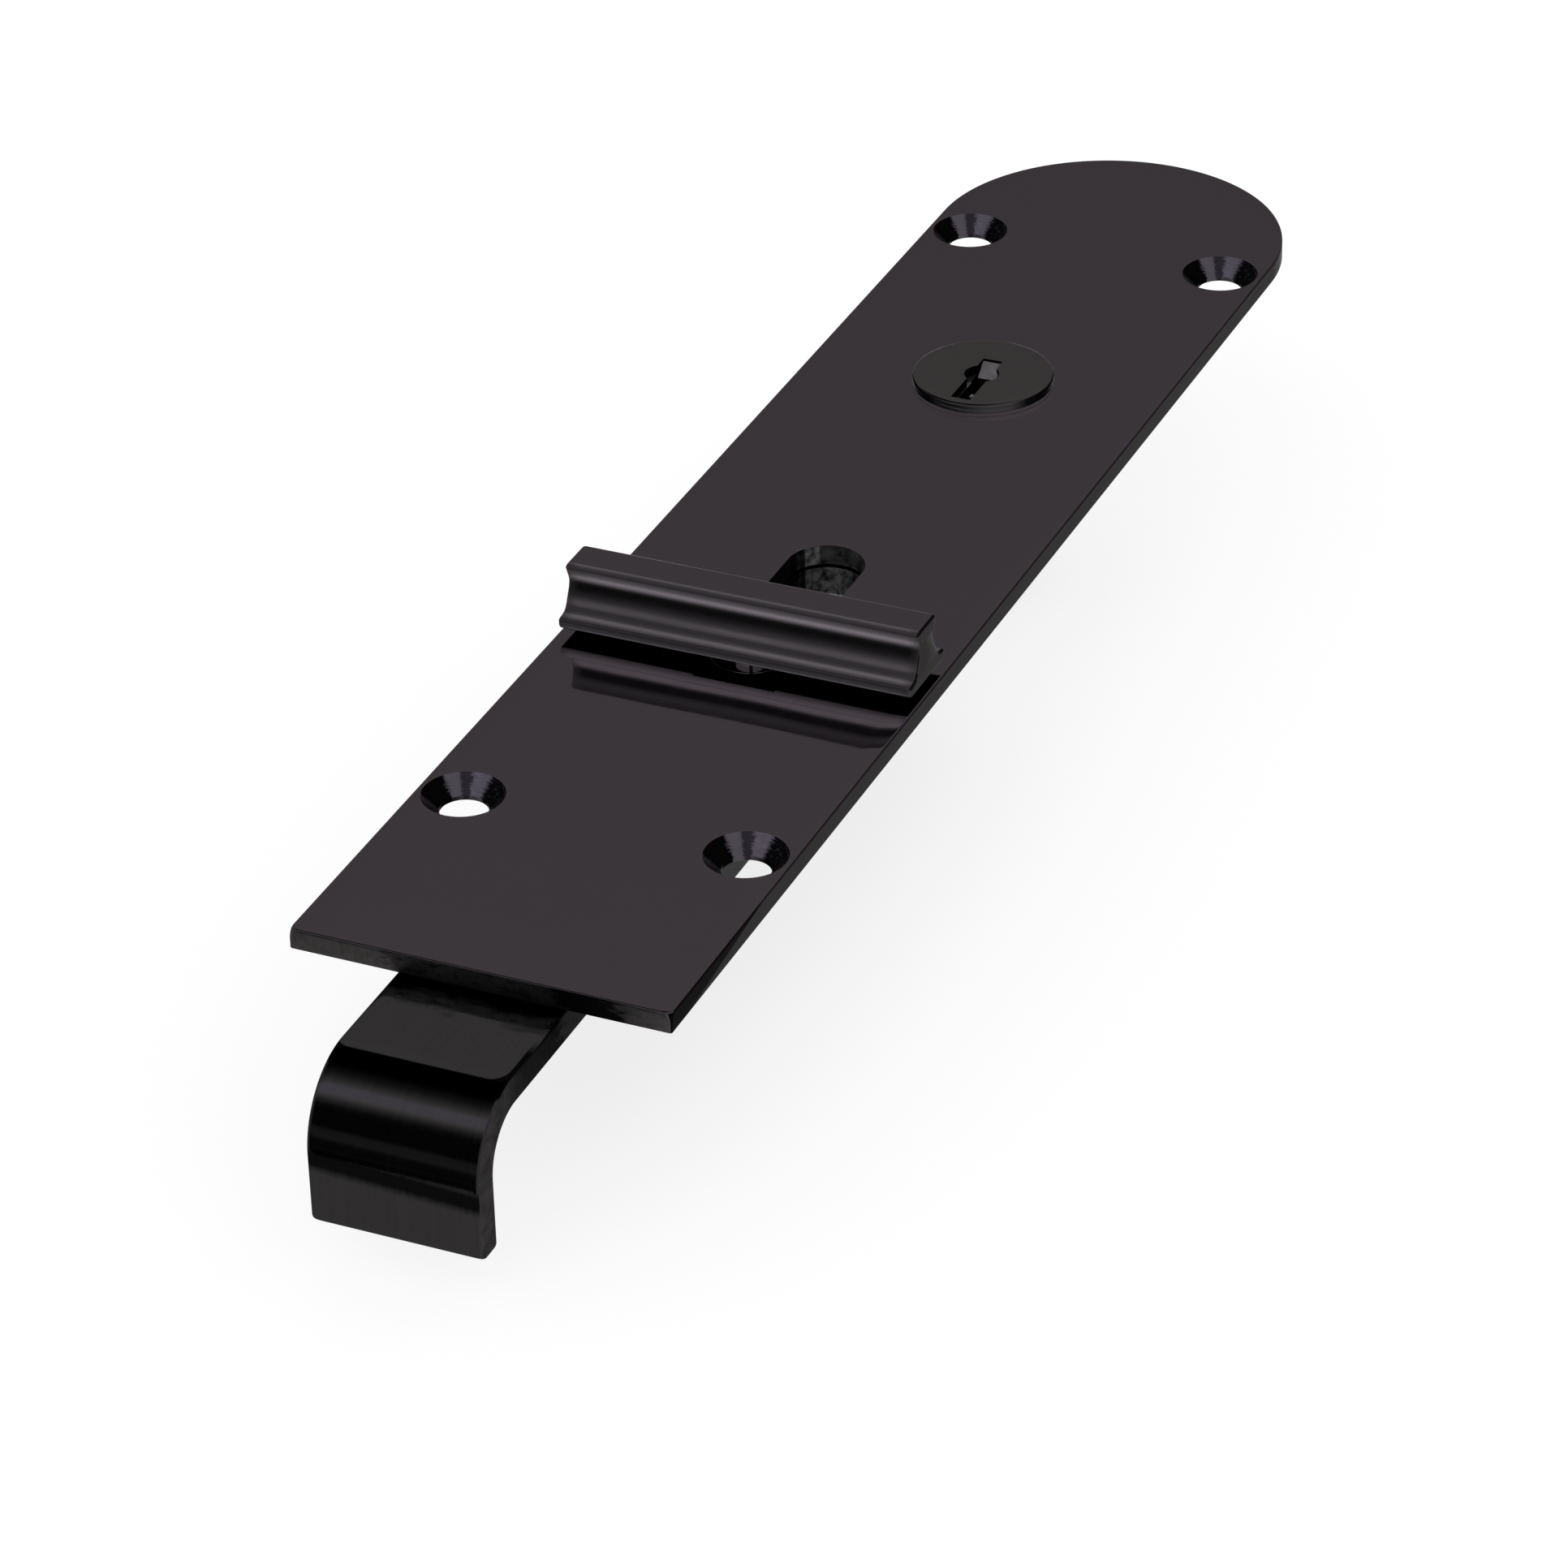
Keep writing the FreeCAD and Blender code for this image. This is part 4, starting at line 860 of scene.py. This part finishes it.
def lock_head(mats):
    """The turning core with its ridged disc head and keyway."""
    bm = bmesh.new()
    low, high, r = HEAD_BOTTOM, HEAD_TOP, HEAD_R
    profile = [(CORE_STEM_R, CORE_END), (CORE_STEM_R, CORE_SHOULDER), (CORE_R, CORE_SHOULDER), (CORE_R, low),
               (r - 0.12, low), (r - 0.02, low + 0.06), (r, low + 0.14), (r, high - 0.4), (r - 0.05, high - 0.3),
               (r - 0.16, high - 0.16), (r - 0.34, high - 0.06), (r - 0.5, high - 0.03), (r - 0.62, high - 0.045),
               (r - 0.74, high - 0.03), (r - 0.95, high), (r - 1.0, high)]
    lathe(bm, profile, 0, LOCK_Y, 128, solid=True)
    core = piece(finished(bm, "lock_core"), "plug", "lock_chrome", mats["lock"], "lock_plug")
    key_slot = box_outline(-KEY_BLADE_HALF, KEY_BLADE_HALF, LOCK_Y + KEY_BLADE_LOW, LOCK_Y + KEYWAY_HIGH)
    room = box_outline(-KEYWAY_HALF, KEY_EYE_R - 0.05, LOCK_Y + FLAP_ROOM_LOW, LOCK_Y + KEYWAY_HIGH)
    ward = box_outline(WARD_LEFT, KEYWAY_HALF + 0.1, LOCK_Y + KEYWAY_LOW + 1.6, LOCK_Y + KEYWAY_LOW + 2.4)
    block = prism(ward, high - KEYWAY_LEDGE - 0.5, high - 0.45)
    mouth = cut(prism(keyway_outline(KEYWAY_LOW), high - KEYWAY_LEDGE, high + 1), [block])
    cut(core, [mouth, prism(key_slot, high - KEY_DEPTH, high - 1), prism(room, high - FLAP_ROOM_DEPTH, high - 1)])

    def reach(c):
        return math.hypot(c.x, c.y - LOCK_Y)

    def on_ledge(c, n):
        return reach(c) < HEAD_R - 1.2 and high - 2 < c.z < high - 0.01 and n.z > 0.9

    def in_keyway(c, n):
        return reach(c) < CORE_R - 0.1 and high - KEY_DEPTH - 1 < c.z < high - 0.01

    # Painted light on the ledge, painted shade in the keyway and painted reflection bands on the rim
    return paint(core, (mats["ledge"], on_ledge), (mats["keyway"], in_keyway),
                 (mats["rim"], lambda c, n: n.z < 0.85 and reach(c) > HEAD_R - 0.3))


def key_flap(mats):
    """The sprung flap behind the keyway's upper half, with its knuckle and rounded lower edge."""
    pin_y, pin_z, slope = LOCK_Y + 3.0, HEAD_TOP - 0.8, math.radians(5)
    side = [(0.45, 0.55), (0.53, 0.5), (0.55, 0.42), (0.55, 0.0)] + arc(0, 0, 0.55, -15, -120, 12)
    side += [(-0.5, 0.05), (-3.55, 0.05), (-3.68, 0.12), (-3.7, 0.3), (-3.68, 0.48), (-3.6, 0.55)]
    turned = [(pin_y + y * math.cos(slope) - z * math.sin(slope), pin_z + y * math.sin(slope) + z * math.cos(slope))
              for y, z in side]
    bm = bmesh.new()
    sweep_x(bm, anticlockwise(turned), KEYWAY_HALF - 0.03, [(0, 0.06), (0.06, 0)])
    for vert in bm.verts:
        vert.co.x += max(0.0, pin_y * MM - vert.co.y) * FLAP_SLANT
    return piece(finished(bm, "flap_stamped"), "flap", "spring_steel", mats["flap"], "key_flap")


def lock_barrel(mats):
    """The fixed sleeve: a thin flange on the plate and a double-D body."""
    bm = bmesh.new()
    flange = [(BORE_R, PLATE_THICK), (FLANGE_R - 0.05, PLATE_THICK), (FLANGE_R, PLATE_THICK + 0.05),
              (FLANGE_R, FLANGE_TOP - 0.15), (FLANGE_R - 0.05, FLANGE_TOP - 0.05), (FLANGE_R - 0.15, FLANGE_TOP),
              (BORE_R, FLANGE_TOP)]
    lathe(bm, flange, 0, LOCK_Y, 128, closed=True)
    outline = anticlockwise(double_d(BARREL_R, BARREL_FLAT))
    bore = [(x * BORE_R / math.hypot(x, y - LOCK_Y), LOCK_Y + (y - LOCK_Y) * BORE_R / math.hypot(x, y - LOCK_Y))
            for x, y in outline]
    low, top = -BARREL_DEPTH, PLATE_THICK
    rings = [ring(bm, [(x, y, z) for x, y in line]) for line, z in
             ((bore, top), (bore, low), (outline, low), (outline, top))]
    skin_all(bm, rings + rings[:1])
    barrel = piece(finished(bm, "barrel_flanged"), "base", "lock_chrome", mats["zinc"], "lock_barrel")
    # The flange's top takes the rim's painted reflection bands
    return paint(barrel, (mats["rim"], lambda c, n: c.z > PLATE_THICK))


def carried_over(mats):
    """Gives the hidden solids their finishes and soft edges."""
    finish = {"zinc_steel": "zinc", "spring_steel": "spring", "rail_nylon": "nylon", "black_chrome": "tongue",
              "lock_chrome": "lock", "case_black": "case"}
    slots = {row["node"]: row["material_slot"] for row in frame["record"]["subparts"]}
    for name, thing in frame["nodes"].items():
        for k in range(len(thing.data.materials)):
            thing.data.materials[k] = mats[finish[slots[name]]]
        thing.modifiers.new("joined", "WELD").merge_threshold = WELD_DISTANCE
        edge = thing.modifiers.new("soft_edges", "BEVEL")
        edge.width, edge.segments, edge.limit_method = SOFT_EDGE_WIDTH * MM, 2, "ANGLE"
        edge.angle_limit, edge.harden_normals = math.radians(SOFT_EDGE_ANGLE), True


def camera():
    """The camera at the photographed angle."""
    data = bpy.data.cameras.new("camera")
    data.lens = CAMERA_LENS
    data.sensor_width = CAMERA_SENSOR
    data.sensor_fit = "HORIZONTAL"
    data.clip_start = CAMERA_NEAR
    thing = bpy.data.objects.new("camera", data)
    thing.location = CAMERA_PLACE
    thing.rotation_euler = Euler([math.radians(a) for a in CAMERA_TURN], "XYZ")
    bpy.context.scene.collection.objects.link(thing)
    bpy.context.scene.camera = thing


LILAC = (1.38, 1.39, 1.56)
# Angle about X from +Y upwards, in degrees, and the brightness of the studio there
STRIPS = [(0, 0.95), (50, 1.0), (56.5, 0.98), (58.5, 0.02), (90, 0.02), (100, 0.17), (106, 0.45), (112, 0.85),
          (117, LILAC), (127, LILAC), (131, 1.0), (136, 0.42), (142, 0.1), (148, 0.03), (171, 0.03), (175, 0.2),
          (185, 0.24), (189, 0.07), (199, 0.04), (202, 0.08), (205, 0.03), (211.5, 0.03), (214, 0.72), (300, 0.82),
          (360, 0.95)]
# The strips stand at this X direction and fade into the plain room from the first to the second distance
STRIP_SIDE, STRIP_CORE, STRIP_END, ROOM_SHADE = 0.352, 0.25, 0.6, 0.85


def studio():
    """A white room, with dark flags and strips that only mirrors see, along the photographed direction."""
    world = bpy.data.worlds.new("studio")
    world.use_nodes = True
    tree = world.node_tree
    parts = add(tree, "ShaderNodeSeparateXYZ")
    join(tree, add(tree, "ShaderNodeTexCoord").outputs["Generated"], parts.inputs[0])
    angle = maths(tree, "ARCTAN2", parts.outputs["Z"], parts.outputs["Y"])
    share = maths(tree, "FRACT", maths(tree, "DIVIDE", angle, 2 * math.pi))
    strips = ramp(tree, share, [(deg / 360, value) for deg, value in STRIPS])
    apart = maths(tree, "ABSOLUTE", maths(tree, "ADD", parts.outputs["X"], STRIP_SIDE))
    room = mixed(tree, between(tree, apart, 0.0, 1.0, STRIP_CORE, STRIP_END), strips, (ROOM_SHADE,) * 3)
    glossy = add(tree, "ShaderNodeLightPath").outputs["Is Glossy Ray"]
    join(tree, mixed(tree, glossy, (1.0, 1.0, 1.0), room), tree.nodes["Background"].inputs["Color"])
    bpy.context.scene.world = world


def floor():
    """A white floor that keeps a light shadow."""
    bm = bmesh.new()
    corners = box_outline(-FLOOR_REACH, FLOOR_REACH, -FLOOR_REACH, FLOOR_REACH)
    bm.faces.new([bm.verts.new((x, y, cad_box[0][2])) for x, y in corners])
    thing = finished(bm, "floor")
    mat = bpy.data.materials.new("floor")
    mat.use_nodes = True
    tree = mat.node_tree
    shader = tree.nodes["Principled BSDF"]
    shader.inputs["Base Color"].default_value = (FLOOR_BASE, FLOOR_BASE, FLOOR_BASE, 1)
    shader.inputs["Roughness"].default_value = 1.0
    shader.inputs["Specular IOR Level"].default_value = 0.0
    shader.inputs["Emission Color"].default_value = (1, 1, 1, 1)
    direct = add(tree, "ShaderNodeLightPath").outputs["Is Camera Ray"]
    join(tree, maths(tree, "MULTIPLY", direct, FLOOR_GLOW), shader.inputs["Emission Strength"])
    thing.data.materials.append(mat)
    thing.visible_glossy = False


mats = materials()
carried_over(mats)
face_plate(mats)
bolt_bar(mats)
grip(mats)
grip_post(mats)
slot_bush(mats)
lock_barrel(mats)
lock_head(mats)
key_flap(mats)
camera()
studio()
floor()

bpy.context.scene.view_settings.view_transform = "Standard"
